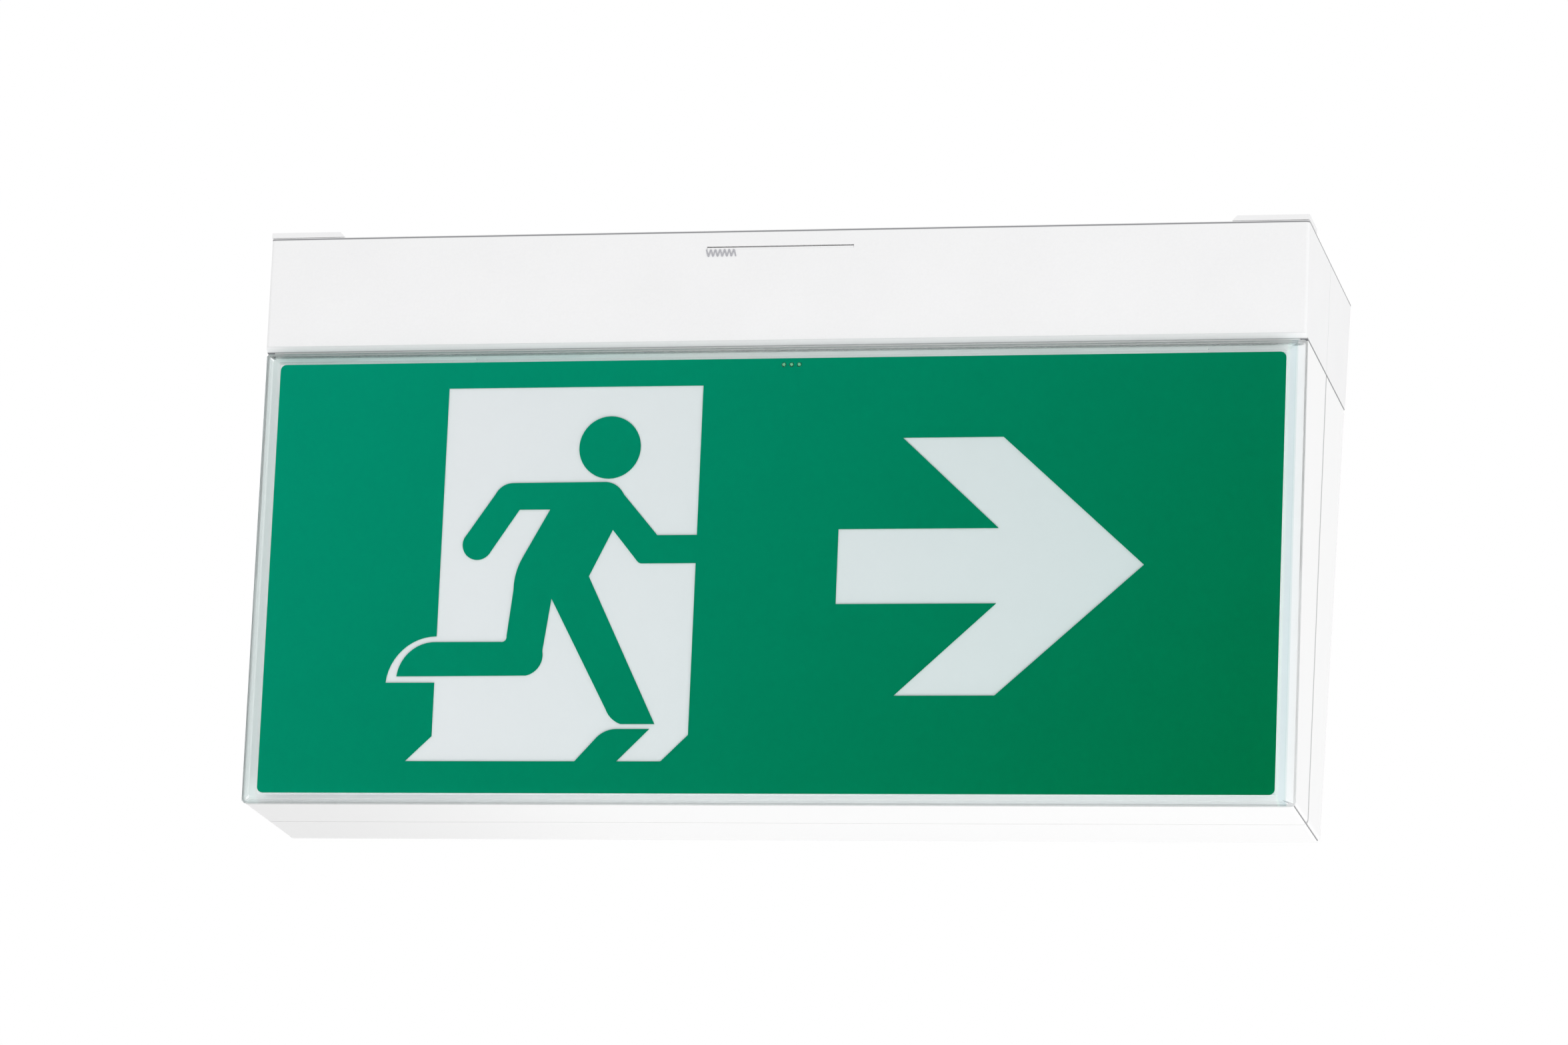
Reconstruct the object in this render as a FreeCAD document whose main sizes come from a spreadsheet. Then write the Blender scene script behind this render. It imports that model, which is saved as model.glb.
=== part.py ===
"""Emergency exit light, hung from a ceiling.

A shallow mounting plate is screwed to the ceiling. The luminaire hangs from the plate on two
rear hinge pins and swings down for wiring: a white hood with the gear inside, and below it a
wedge-shaped light box of two opal half shells. A clear bevelled cover in front holds the green
legend against its white panel; an opal cover of the same mould closes the rear.

Units are millimetres. The origin is the centre of the plate's screw pattern, in the plane of
the ceiling. +X runs along the sign to the right of someone who reads it, -Y faces the reader
and +Z points up, so that the whole light hangs below Z = 0.
"""
import FreeCAD, Part
import Sketcher
import math
import os
import re

V = FreeCAD.Vector

# ---------------------------------------------------------------- driving dimensions

SIZES = [
    # outline
    ("body_width", 360.0, "hood and light box, end to end"),
    ("body_height", 194.5, "top edge of the hood to the underside of the light box"),
    ("depth_top", 90.0, "front to back at the hood's top edge"),
    ("depth_low", 55.5, "front to back at the underside"),
    ("hood_height", 39.5, "height of the white hood"),
    ("pad_rise", 2.0, "ceiling to the hood's top edge"),
    # hood
    ("hood_wall", 2.2, "hood wall"),
    ("hood_bevel_deep", 2.4, "lower bevel, measured front to back"),
    ("hood_bevel_high", 1.6, "lower bevel, measured up the face"),
    ("hood_corner", 1.2, "radius of the hood's upright edges"),
    ("slot_length", 51.0, "release slot in the hood's front"),
    ("slot_high", 1.1, "height of the release slot"),
    ("slot_drop", 6.0, "hood's top edge to the middle of the release slot"),
    ("crease", 0.35, "parting groove in the hood's ends"),
    # hinge
    ("hinge_reach", 120.0, "middle of the sign to each hinge"),
    ("hinge_drop", 3.0, "hood's top edge down to the hinge axis"),
    ("hinge_inset", 3.0, "hood's rear face to the hinge axis"),
    ("knuckle_radius", 2.5, "outside of the hinge knuckles"),
    ("pin_radius", 1.25, "hinge pin"),
    ("pin_running", 0.06, "radial clearance of the plate's knuckle on the pin"),
    ("pin_seat", 0.01, "radial clearance of the hood's knuckles on the pin"),
    ("knuckle_plate", 10.0, "length of the plate's knuckle"),
    ("knuckle_hood", 6.0, "length of each of the hood's knuckles"),
    ("knuckle_side", 0.3, "side clearance between knuckles"),
    ("notch_deep", 7.5, "hood's top edge to the floor of the hinge notch"),
    # mounting plate
    ("plate_drop", 3.0, "ceiling to the top of the plate"),
    ("plate_thick", 2.5, "plate floor"),
    ("plate_skirt", 6.0, "skirt below the plate floor"),
    ("skirt_wall", 2.0, "skirt thickness"),
    ("plate_gap", 0.8, "plate to the inside of the hood"),
    ("rear_clear", 5.5, "hinge axis to the rear edge of the plate"),
    ("pad_length", 26.0, "corner pad along the sign"),
    ("pad_wide", 15.0, "corner pad front to back"),
    ("pad_chamfer", 1.6, "slope at the inner end of a corner pad"),
    ("pad_gap", 0.2, "corner pad to the hood's top edge"),
    ("post_inset", 4.0, "corner pad's edge to the post under it"),
    ("fix_spacing_long", 280.0, "screw holes along the sign"),
    ("fix_spacing_wide", 36.0, "screw holes front to back"),
    ("fix_radius", 2.3, "half the width of a screw slot"),
    ("fix_slot", 9.0, "screw slot, end to end"),
    ("boss_length", 18.0, "screw boss along the sign"),
    ("boss_wide", 12.0, "screw boss front to back"),
    ("entry_radius", 11.0, "cable entry in the plate"),
    ("entry_back", 9.0, "middle of the plate to the cable entry"),
    ("rib_high", 2.5, "stiffening ribs under the plate"),
    ("rib_start", 90.0, "middle of the sign to the nearest rib"),
    ("rib_pitch", 32.0, "distance between ribs"),
    ("rib_wide", 1.6, "stiffening rib thickness"),
    # cable grommet
    ("cable_radius", 5.0, "hole for the supply cable"),
    ("grommet_lip", 2.0, "grommet lip beyond the entry"),
    ("grommet_lip_high", 0.9, "grommet lip height"),
    ("grommet_neck", 4.0, "grommet sleeve below the plate"),
    # release latch
    ("latch_width", 50.0, "latch and its nose"),
    ("latch_deep", 9.0, "latch body, front to back"),
    ("latch_high", 4.4, "latch body height"),
    ("latch_gap", 0.3, "running gap around the latch"),
    ("latch_travel", 2.0, "stroke of the latch"),
    ("nose_high", 0.8, "thickness of the latch's nose"),
    ("nose_gap", 0.3, "nose tip to the inside of the hood"),
    ("rail_thick", 1.6, "guide rail walls"),
    ("rail_lip", 2.0, "lip of a guide rail under the latch"),
    ("spring_room", 8.0, "rear of the latch to the spring's stop"),
    ("spring_thick", 0.4, "leaf spring strip"),
    ("spring_high", 3.0, "leaf spring width"),
    ("spring_half", 14.0, "half the length of the leaf spring"),
    # terminal block and spring contacts
    ("block_length", 48.0, "terminal block along the sign"),
    ("block_wide", 18.0, "terminal block front to back"),
    ("block_high", 12.0, "terminal block height"),
    ("block_start", 30.0, "middle of the sign to the terminal block"),
    ("pole_pitch", 15.0, "distance between poles"),
    ("screw_well", 2.6, "radius of a clamp screw's well"),
    ("clamp_screw", 2.2, "radius of a clamp screw"),
    ("well_deep", 5.0, "depth of a clamp screw's well"),
    ("wire_hole", 1.6, "half the side of a square wire entry"),
    ("contact_thick", 0.8, "contact pad thickness"),
    ("contact_size", 6.0, "contact pad, both ways"),
    ("contact_gap", 0.3, "contact pad to the finger under it"),
    ("finger_thick", 0.5, "contact finger strip"),
    ("finger_width", 4.0, "contact finger width"),
    ("finger_rise", 5.4, "contact finger above its holder"),
    # gear tray and what it carries
    ("tray_lift", 2.0, "hood's lower edge to the underside of the tray"),
    ("tray_thick", 1.5, "gear tray"),
    ("tray_gap", 0.3, "gear tray to the hood wall"),
    ("boss_radius", 4.0, "hood bosses that take the tray screws"),
    ("boss_high", 10.0, "length of those bosses"),
    ("boss_inset", 8.5, "hood's end face to a boss's axis"),
    ("boss_spread", 28.0, "middle plane to a boss's axis"),
    ("tray_screw", 1.45, "tray screw shank radius"),
    ("tray_head", 2.8, "tray screw head radius"),
    ("tray_head_high", 1.6, "tray screw head height"),
    ("tray_screw_long", 8.0, "tray screw shank length"),
    ("screw_play", 0.15, "screw hole beyond its screw"),
    ("standoff", 1.2, "circuit board above the tray"),
    ("board_length", 120.0, "driver board along the sign"),
    ("board_wide", 60.0, "driver board front to back"),
    ("board_thick", 1.6, "circuit board thickness"),
    ("board_start", -10.0, "left end of the driver board"),
    ("board_hole_inset", 4.0, "board edge to a screw hole"),
    ("standoff_wide", 6.0, "side of a square board standoff"),
    ("core_start", 24.0, "end of the driver board to the transformer core"),
    ("core_side", 16.0, "middle plane to the middle of the core"),
    ("core_long", 26.0, "transformer core along the sign"),
    ("core_wide", 14.0, "transformer core front to back"),
    ("core_high", 15.0, "transformer core height"),
    ("core_limb", 5.0, "end limbs of the core"),
    ("core_yoke", 3.0, "thickness of the core below and above the coil"),
    ("coil_over", 4.0, "coil beyond the core, front and back"),
    ("coil_play", 0.2, "coil to the core"),
    ("coil_round", 1.5, "radius of the coil's edges"),
    ("can_start", 62.0, "end of the driver board to the first capacitor"),
    ("can_pitch", 14.0, "distance between the two front capacitors"),
    ("can_side", 18.0, "middle plane to the front capacitors"),
    ("can_radius", 5.0, "radius of a large capacitor"),
    ("can_high", 14.0, "height of a large capacitor"),
    ("small_can_radius", 4.0, "radius of the small capacitor"),
    ("small_can_high", 11.5, "height of the small capacitor"),
    ("can_ease", 0.7, "chamfer round the top of a capacitor"),
    ("far_can_start", 98.0, "end of the driver board to the third capacitor"),
    ("far_can_side", 16.0, "middle plane to the third capacitor"),
    ("chip_start", 94.0, "end of the driver board to the chip"),
    ("chip_long", 12.0, "chip along the sign"),
    ("chip_wide", 8.0, "chip front to back"),
    ("chip_high", 1.8, "chip height"),
    ("socket_inset", 1.0, "end of the driver board to its sockets"),
    ("socket_deep", 9.0, "socket along the sign"),
    ("socket_wide", 9.0, "socket front to back"),
    ("socket_high", 7.0, "socket height"),
    ("socket_wall", 1.0, "wall of a socket"),
    ("plug_out", 3.0, "plug outside its socket"),
    ("plug_in", 7.0, "plug inside its socket"),
    ("plug_gap", 0.2, "plug to the walls of its socket"),
    ("holder_wide", 10.0, "contact holder front to back"),
    ("lamp_socket_y", 18.0, "middle plane to the lamp socket"),
    ("cell_radius", 7.2, "battery cell radius"),
    ("cell_length", 49.6, "battery cell length"),
    ("cell_gap", 0.4, "gap between neighbouring cells"),
    ("cell_inset", 28.0, "hood's end face to the end of the battery"),
    ("cradle_wide", 10.0, "battery cradle along the sign"),
    ("cradle_high", 11.0, "battery cradle height"),
    ("cradle_wall", 2.0, "battery cradle outer arms"),
    ("cradle_play", 0.1, "cradle to cell"),
    ("lead_radius", 1.6, "battery lead radius"),
    ("lamp_lead_radius", 0.9, "radius of the lead to the LED strip"),
    ("lead_play", 0.6, "lead's hole in the tray beyond the lead"),
    ("led_board_length", 330.0, "LED strip board"),
    ("led_board_wide", 14.0, "LED strip board front to back"),
    ("led_size", 3.5, "LED package, both ways"),
    ("led_high", 1.0, "LED package height"),
    ("led_count", 12, "LEDs on the strip"),
    # light box shells
    ("shell_wall", 2.0, "opal shell wall"),
    ("shell_corner", 2.0, "radius of the shells' lower corners"),
    ("seam_gap", 0.3, "seam between the half shells"),
    ("hood_gap", 0.2, "light box below the hood"),
    ("flange_thick", 2.0, "flange around the window of a shell"),
    ("flange_width", 10.0, "flange width"),
    ("seat_margin", 7.0, "shell's edge to the panel seat"),
    ("lip_high", 1.8, "lip that stands inside the hood"),
    ("lip_thick", 1.4, "thickness of that lip"),
    ("lip_gap", 0.3, "lip to the hood wall"),
    ("clip_reach", 126.0, "middle of the sign to the middle of a clip rib"),
    ("clip_length", 42.0, "clip rib along the sign"),
    ("clip_high", 1.5, "clip rib height"),
    ("clip_drop", 3.2, "hood's lower edge down to a clip rib"),
    ("clip_deep", 2.1, "clip rib ahead of the shell's front"),
    # covers
    ("cover_recess", 1.9, "hood's front plane back to the cover's edge"),
    ("cover_wall", 1.5, "cover thickness"),
    ("rim_wide", 2.7, "outer bevel of the cover, at its ends"),
    ("rim_rise", 2.4, "rise of the outer bevel"),
    ("groove_wide", 3.05, "inner bevel of the cover, at its ends"),
    ("groove_rise", 2.2, "rise of the inner bevel"),
    ("top_bevel", 4.0, "both bevels together along the top edge"),
    ("low_bevel", 2.45, "both bevels together along the bottom edge"),
    ("cover_inset", 0.5, "outside of a bevel to its inside, measured along the face"),
    ("cover_edge", 1.1, "width of the cover's back edge"),
    ("cover_corner", 0.8, "ease of the cover's corners"),
    # legend
    ("legend_inset", 0.6, "edge of the cover's face to the edge of the legend"),
    ("legend_corner", 2.0, "corner radius of the legend"),
    ("film_thick", 0.4, "legend film"),
    ("film_gap", 0.05, "cover to the legend film"),
    ("panel_thick", 1.5, "white panel behind the film"),
    # status light
    ("pipe_left", 1.6, "left side of the status light pipe"),
    ("pipe_width", 8.8, "width of the status light pipe"),
    ("pipe_thick", 3.0, "thickness of the light pipe's bar"),
    ("prong_radius", 0.5, "light pipe prong"),
    ("prong_play", 0.3, "hole beyond the prong"),
    ("prong_drop", 2.2, "legend's top edge down to the prongs"),
]

doc = FreeCAD.newDocument("exit_light")
sheet = doc.addObject("Spreadsheet::Sheet", "Sizes")
for row, (alias, value, meaning) in enumerate(SIZES, start=1):
    sheet.set(f"A{row}", str(value))
    sheet.setAlias(f"A{row}", alias)
    sheet.set(f"B{row}", meaning)
doc.recompute()

NAMES = re.compile(r"\b(" + "|".join(alias for alias, _, _ in SIZES) + r")\b")


def bind(formula):
    """Turn a formula of plain size names into a FreeCAD expression on the sheet."""
    return NAMES.sub(r"Sizes.\1", str(formula))


def value(formula):
    """The number that a formula of size names has now."""
    result = sheet.evalExpression(bind(formula))
    return float(getattr(result, "Value", result))


# ---------------------------------------------------------------- shared levels and planes

LEAN = "((depth_top - depth_low) / 2 / body_height)"
SECANT = f"sqrt(1 + {LEAN} * {LEAN})"
HOOD_TOP = "(-pad_rise)"
JOINT_Z = "(-pad_rise - hood_height)"
BASE_Z = "(-pad_rise - body_height)"
SHELL_TOP = f"({JOINT_Z} - hood_gap)"
FACE_LENGTH = f"((body_height - hood_height) * {SECANT})"


def half(z):
    """Half the depth of the wedge at height z."""
    return f"(depth_top / 2 + {LEAN} * ({z} + pad_rise))"


def plane_y(z, behind):
    """Y at height z of a plane parallel to the front face, a distance behind it."""
    return f"(-{half(z)} + ({behind}) * {SECANT})"


HINGE_Y = f"({half(HOOD_TOP)} - hinge_inset)"
HINGE_Z = "(-pad_rise - hinge_drop)"
PLATE_TOP = "(-plate_drop)"
PLATE_LOW = "(-plate_drop - plate_thick)"
SKIRT_LOW = f"({PLATE_LOW} - plate_skirt)"
PLATE_FRONT = f"({half(SKIRT_LOW)} - hood_wall - plate_gap)"
PLATE_REAR = f"({HINGE_Y} - rear_clear)"
PLATE_END = "(body_width / 2 - hood_wall - plate_gap)"
SLOT_Z = "(-pad_rise - slot_drop)"
TRAY_LOW = f"({JOINT_Z} + tray_lift)"
TRAY_TOP = f"({TRAY_LOW} + tray_thick)"
BOARD_LOW = f"({TRAY_TOP} + standoff)"
BOARD_TOP = f"({BOARD_LOW} + board_thick)"
SHELL_FRONT = "(cover_recess + cover_wall)"
FACE_OUT = "(cover_recess - rim_rise - groove_rise)"
COVER_TOP = f"(-hood_gap - {SHELL_FRONT} * {LEAN})"
FILM_FRONT = f"({FACE_OUT} + cover_wall + film_gap)"
PANEL_FRONT = f"({FILM_FRONT} + film_thick)"
PANEL_BACK = f"({PANEL_FRONT} + panel_thick)"
LEGEND_HALF = "(body_width / 2 - rim_wide - groove_wide - legend_inset)"
LEGEND_TOP = f"({COVER_TOP} - top_bevel - legend_inset)"
LEGEND_LOW = f"(-{FACE_LENGTH} + low_bevel + legend_inset)"
CELL_START = "(-body_width / 2 + cell_inset)"
PLUG_Z = f"({BOARD_TOP} + socket_high / 2)"
LAMP_LEAD_X = "(board_start - 14)"
LAMP_LEAD_Y = "(led_board_wide / 2 - 1.8)"
PRONG_Z = f"({JOINT_Z} + ({LEGEND_TOP} - prong_drop) / {SECANT})"
PRONGS = ["pipe_left + pipe_width * 0.2", "pipe_left + pipe_width * 0.5", "pipe_left + pipe_width * 0.8"]


# ---------------------------------------------------------------- modelling helpers

NODES = []
PLANE_OF = {"XY": "XY_Plane", "XZ": "XZ_Plane", "YZ": "YZ_Plane"}


def new_body(label):
    body = doc.addObject("PartDesign::Body", label)
    body.Label = label
    NODES.append(body)
    return body


def tilt_to_face(thing, side=-1):
    """Place an object in the frame of the front face (side -1) or the rear face (side 1).

    The frame's origin is the face's middle at the hood's lower edge, its Z runs up the face
    and its -Y points out of it. The rear face's frame is the front's, turned half a turn.
    """
    turn = FreeCAD.Rotation(V(0, 0, 1), 0 if side < 0 else 180)
    lean = FreeCAD.Rotation(V(1, 0, 0), math.degrees(math.atan(value(LEAN))))
    thing.Placement = FreeCAD.Placement(V(0, 0, 0), turn.multiply(lean))
    thing.setExpression("Placement.Base.y", bind(f"{side} * {half(JOINT_Z)}"))
    thing.setExpression("Placement.Base.z", bind(JOINT_Z))
    if side < 0:
        thing.setExpression("Placement.Rotation.Angle", bind(f"atan({LEAN})"))


def sketch_on(body, plane, offset=None):
    sketch = body.newObject("Sketcher::SketchObject", body.Name + "_sketch")
    role = PLANE_OF[plane]
    origin_plane = [f for f in body.Origin.OriginFeatures if f.Role == role][0]
    sketch.AttachmentSupport = [(origin_plane, "")]
    sketch.MapMode = "FlatFace"
    if offset is not None:
        sketch.setExpression("AttachmentOffset.Base.z", bind(offset))
    return sketch


def add_polygon(sketch, points):
    """A closed outline; each corner is dimensioned from the origin by its two formulas."""
    first = sketch.GeometryCount
    count = len(points)
    spots = [(value(x), value(y)) for x, y in points]
    for i, (x, y) in enumerate(spots):
        x2, y2 = spots[(i + 1) % count]
        sketch.addGeometry(Part.LineSegment(V(x, y, 0), V(x2, y2, 0)), False)
    for i in range(count):
        sketch.addConstraint(Sketcher.Constraint("Coincident", first + i, 2, first + (i + 1) % count, 1))
    for i, (x, y) in enumerate(points):
        for kind, formula, now in (("DistanceX", x, spots[i][0]), ("DistanceY", y, spots[i][1])):
            index = sketch.addConstraint(Sketcher.Constraint(kind, -1, 1, first + i, 1, now))
            sketch.setExpression(f"Constraints[{index}]", bind(formula))


def add_rectangle(sketch, x1, x2, y1, y2):
    add_polygon(sketch, [(x1, y1), (x2, y1), (x2, y2), (x1, y2)])


def add_eased_rectangle(sketch, half_width, low, top, ease):
    """A rectangle about the Y axis whose four corners are cut off at 45 degrees."""
    near = f"({half_width} - {ease})"
    add_polygon(sketch, [
        (f"-{near}", low), (near, low), (half_width, f"{low} + {ease}"), (half_width, f"{top} - {ease}"),
        (near, top), (f"-{near}", top), (f"-{half_width}", f"{top} - {ease}"), (f"-{half_width}", f"{low} + {ease}")])


def add_circle(sketch, x, y, radius):
    spot = V(value(x), value(y), 0)
    number = sketch.addGeometry(Part.Circle(spot, V(0, 0, 1), value(radius)), False)
    for kind, formula, now in (("DistanceX", x, spot.x), ("DistanceY", y, spot.y)):
        index = sketch.addConstraint(Sketcher.Constraint(kind, -1, 1, number, 3, now))
        sketch.setExpression(f"Constraints[{index}]", bind(formula))
    index = sketch.addConstraint(Sketcher.Constraint("Radius", number, value(radius)))
    sketch.setExpression(f"Constraints[{index}]", bind(radius))


def feature(body, kind, sketch, length, symmetric=False, reverse=False):
    made = body.newObject("PartDesign::" + kind, body.Name + "_" + kind.lower())
    made.Profile = sketch
    made.Reversed = reverse
    if symmetric:
        made.SideType = "Symmetric"
    made.setExpression("Length", bind(length))
    return made


def pad_polygon(body, plane, points, length, offset=None, **more):
    sketch = sketch_on(body, plane, offset)
    add_polygon(sketch, points)
    return feature(body, "Pad", sketch, length, **more)


def pocket_polygon(body, plane, points, length, offset=None, **more):
    sketch = sketch_on(body, plane, offset)
    add_polygon(sketch, points)
    return feature(body, "Pocket", sketch, length, **more)


def rectangle(x1, x2, y1, y2):
    return [(x1, y1), (x2, y1), (x2, y2), (x1, y2)]


def fillet(body, radius, choose):
    """Round the edges of the body's last feature that choose(edge) picks."""
    doc.recompute()
    tip = body.Tip
    edges = [f"Edge{i}" for i, edge in enumerate(tip.Shape.Edges, start=1) if choose(edge)]
    made = body.newObject("PartDesign::Fillet", body.Name + "_fillet")
    made.Base = (tip, edges)
    made.setExpression("Radius", bind(radius))
    return made


def box(label, x1, x2, y1, y2, z1, z2, node=True):
    made = doc.addObject("Part::Box", label)
    made.Label = label
    for size, low, high, axis in (("Length", x1, x2, "x"), ("Width", y1, y2, "y"), ("Height", z1, z2, "z")):
        made.setExpression(size, bind(f"({high}) - ({low})"))
        made.setExpression("Placement.Base." + axis, bind(low))
    if node:
        NODES.append(made)
    return made


def cylinder(label, x, y, z, radius, length, axis="z", node=True):
    made = doc.addObject("Part::Cylinder", label)
    made.Label = label
    turn = {"z": FreeCAD.Rotation(), "x": FreeCAD.Rotation(V(0, 1, 0), 90), "y": FreeCAD.Rotation(V(1, 0, 0), -90)}
    made.Placement = FreeCAD.Placement(V(0, 0, 0), turn[axis])
    for prop, formula in (("Radius", radius), ("Height", length)):
        made.setExpression(prop, bind(formula))
    for name, formula in (("x", x), ("y", y), ("z", z)):
        made.setExpression("Placement.Base." + name, bind(formula))
    if node:
        NODES.append(made)
    return made


def cut(label, base, tools, node=True):
    tool = tools[0]
    if len(tools) > 1:
        tool = doc.addObject("Part::MultiFuse", label + "_tools")
        tool.Shapes = tools
    made = doc.addObject("Part::Cut", label)
    made.Label = label
    made.Base = base
    made.Tool = tool
    if node:
        NODES.append(made)
    return made


def fuse(label, parts, node=True):
    made = doc.addObject("Part::MultiFuse", label)
    made.Label = label
    made.Shapes = parts
    if node:
        NODES.append(made)
    return made


def group(label, parts):
    """Several separate solids that share one node."""
    made = doc.addObject("Part::Compound", label)
    made.Label = label
    made.Links = parts
    NODES.append(made)
    return made


# ---------------------------------------------------------------- mounting plate and its pieces

def make_mounting_plate():
    """Moulded plate with skirt, screw bosses, corner pads, hinge knuckles and latch rails."""
    plate = new_body("mounting_plate")
    outline = rectangle(f"-{PLATE_END}", PLATE_END, f"-{PLATE_FRONT}", PLATE_REAR)
    pad_polygon(plate, "XY", outline, "plate_thick + plate_skirt", offset=SKIRT_LOW)
    hollow = rectangle(
        f"-{PLATE_END} + skirt_wall", f"{PLATE_END} - skirt_wall",
        f"-{PLATE_FRONT} + skirt_wall", f"{PLATE_REAR} - skirt_wall")
    pocket_polygon(plate, "XY", hollow, "plate_skirt", offset=SKIRT_LOW, reverse=True)

    # stiffening ribs, clear of the latch in front and the cable entry behind
    sketch = sketch_on(plate, "XY", PLATE_LOW)
    for side in (-1, 1):
        for x in ("rib_start", "(rib_start + rib_pitch)", "(rib_start + 2 * rib_pitch)"):
            add_rectangle(
                sketch, f"{side} * {x} - rib_wide / 2", f"{side} * {x} + rib_wide / 2",
                f"-{PLATE_FRONT} + skirt_wall / 2", f"{PLATE_REAR} - skirt_wall / 2")
    feature(plate, "Pad", sketch, "rib_high", reverse=True)

    # screw bosses stand on the ceiling
    sketch = sketch_on(plate, "XY", f"{PLATE_TOP} - plate_thick / 2")
    for sx in (-1, 1):
        for sy in (-1, 1):
            x, y = f"{sx} * fix_spacing_long / 2", f"{sy} * fix_spacing_wide / 2"
            add_rectangle(
                sketch, f"{x} - boss_length / 2", f"{x} + boss_length / 2",
                f"{y} - boss_wide / 2", f"{y} + boss_wide / 2")
    feature(plate, "Pad", sketch, "plate_drop + plate_thick / 2")

    # corner pads: the front pair reaches over the hood's top edge to its outer faces
    for side in (-1, 1):
        end = f"{side} * body_width / 2"
        inner = f"{side} * (body_width / 2 - pad_length)"
        slope = f"{side} * (body_width / 2 - pad_length + pad_chamfer)"
        low = f"{HOOD_TOP} + pad_gap"
        profile = [(inner, low), (end, low), (end, "0"), (slope, "0")]
        pad_polygon(plate, "XZ", profile, "pad_wide", offset=half(HOOD_TOP), reverse=True)
        post = rectangle(
            f"{inner} + {side} * post_inset", f"{side} * ({PLATE_END} - skirt_wall)",
            f"-{PLATE_FRONT} + skirt_wall", f"-{half(HOOD_TOP)} + pad_wide")
        pad_polygon(plate, "XY", post, "plate_drop", offset=f"{PLATE_TOP} - pad_gap")
        rear = rectangle(
            inner, f"{side} * {PLATE_END}", f"{PLATE_REAR} - pad_wide", PLATE_REAR)
        pad_polygon(plate, "XY", rear, "plate_drop + plate_thick / 2", offset=f"{PLATE_TOP} - plate_thick / 2")

    # slotted screw holes through the bosses
    straight = "(fix_slot / 2 - fix_radius)"
    slots = sketch_on(plate, "XY")
    ends = sketch_on(plate, "XY")
    for sx in (-1, 1):
        for sy in (-1, 1):
            x, y = f"{sx} * fix_spacing_long / 2", f"{sy} * fix_spacing_wide / 2"
            add_rectangle(slots, f"{x} - {straight}", f"{x} + {straight}", f"{y} - fix_radius", f"{y} + fix_radius")
            for end in (-1, 1):
                add_circle(ends, f"{x} + {end} * {straight}", y, "fix_radius")
    feature(plate, "Pocket", slots, "4 * plate_skirt", symmetric=True)
    feature(plate, "Pocket", ends, "4 * plate_skirt", symmetric=True)

    entry = sketch_on(plate, "XY")
    add_circle(entry, "0", "entry_back", "entry_radius")
    feature(plate, "Pocket", entry, "4 * plate_skirt", symmetric=True)

    # hinge knuckles, on arms that run back from the plate's rear edge
    for side in (-1, 1):
        left = f"{side} * hinge_reach - knuckle_plate / 2"
        arm = [(f"{PLATE_REAR} - skirt_wall", PLATE_TOP), (HINGE_Y, f"{HINGE_Z} + knuckle_radius"),
               (HINGE_Y, f"{HINGE_Z} - knuckle_radius"), (f"{PLATE_REAR} - skirt_wall", SKIRT_LOW)]
        pad_polygon(plate, "YZ", arm, "knuckle_plate", offset=left)
        barrel = sketch_on(plate, "YZ", left)
        add_circle(barrel, HINGE_Y, HINGE_Z, "knuckle_radius")
        feature(plate, "Pad", barrel, "knuckle_plate")
    bore = sketch_on(plate, "YZ")
    add_circle(bore, HINGE_Y, HINGE_Z, "pin_radius + pin_running")
    feature(plate, "Pocket", bore, "2 * hinge_reach + 4 * knuckle_plate", symmetric=True)

    # two L-shaped rails hold the latch from below
    front = f"({PLATE_FRONT} - skirt_wall / 2)"
    low = f"({PLATE_LOW} - latch_gap - latch_high - latch_gap)"
    for side in (-1, 1):
        near = f"{side} * (latch_width / 2 + latch_gap)"
        far = f"{side} * (latch_width / 2 + latch_gap + rail_thick)"
        inner = f"{side} * (latch_width / 2 - rail_lip)"
        top = f"{PLATE_LOW} + plate_thick / 2"
        profile = [(near, top), (far, top), (far, f"{low} - rail_thick"), (inner, f"{low} - rail_thick"),
                   (inner, low), (near, low)]
        pad_polygon(plate, "XZ", profile, "latch_deep + skirt_wall", offset=front, reverse=True)

    # stop behind the latch's leaf spring
    stop_y = f"(-{PLATE_FRONT} + skirt_wall + latch_gap + latch_deep + spring_room)"
    stop = rectangle("-spring_half - 2", "spring_half + 2", stop_y, f"{stop_y} + rail_thick")
    pad_polygon(plate, "XY", stop, "latch_high + plate_thick / 2", offset=f"{PLATE_LOW} + plate_thick / 2", reverse=True)

    # opening in the skirt for the latch's nose
    window = rectangle(
        "-latch_width / 2 - latch_gap", "latch_width / 2 + latch_gap",
        f"{SLOT_Z} - nose_high / 2 - latch_gap", f"{SLOT_Z} + nose_high / 2 + latch_gap")
    pocket_polygon(plate, "XZ", window, "2 * skirt_wall", offset=f"{PLATE_FRONT} + skirt_wall / 2")
    return plate


def make_grommet():
    """Rubber grommet turned round the cable entry: a lip above, a sleeve and a lip below."""
    body = new_body("cable_grommet")
    profile = sketch_on(body, "XZ")
    above = f"({PLATE_TOP} + grommet_lip_high)"
    below = f"({PLATE_LOW} - grommet_lip_high)"
    add_polygon(profile, [
        ("cable_radius", above), ("entry_radius + grommet_lip", above),
        ("entry_radius + grommet_lip", PLATE_TOP), ("entry_radius", PLATE_TOP),
        ("entry_radius", PLATE_LOW), ("entry_radius + grommet_lip", PLATE_LOW),
        ("entry_radius + grommet_lip", below), ("cable_radius + grommet_lip", f"{PLATE_LOW} - grommet_neck"),
        ("cable_radius", f"{PLATE_LOW} - grommet_neck")])
    turned = body.newObject("PartDesign::Revolution", "cable_grommet_turned")
    turned.Profile = profile
    turned.ReferenceAxis = (profile, ["V_Axis"])
    turned.Angle = 360
    body.setExpression("Placement.Base.y", bind("entry_back"))
    return body


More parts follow.
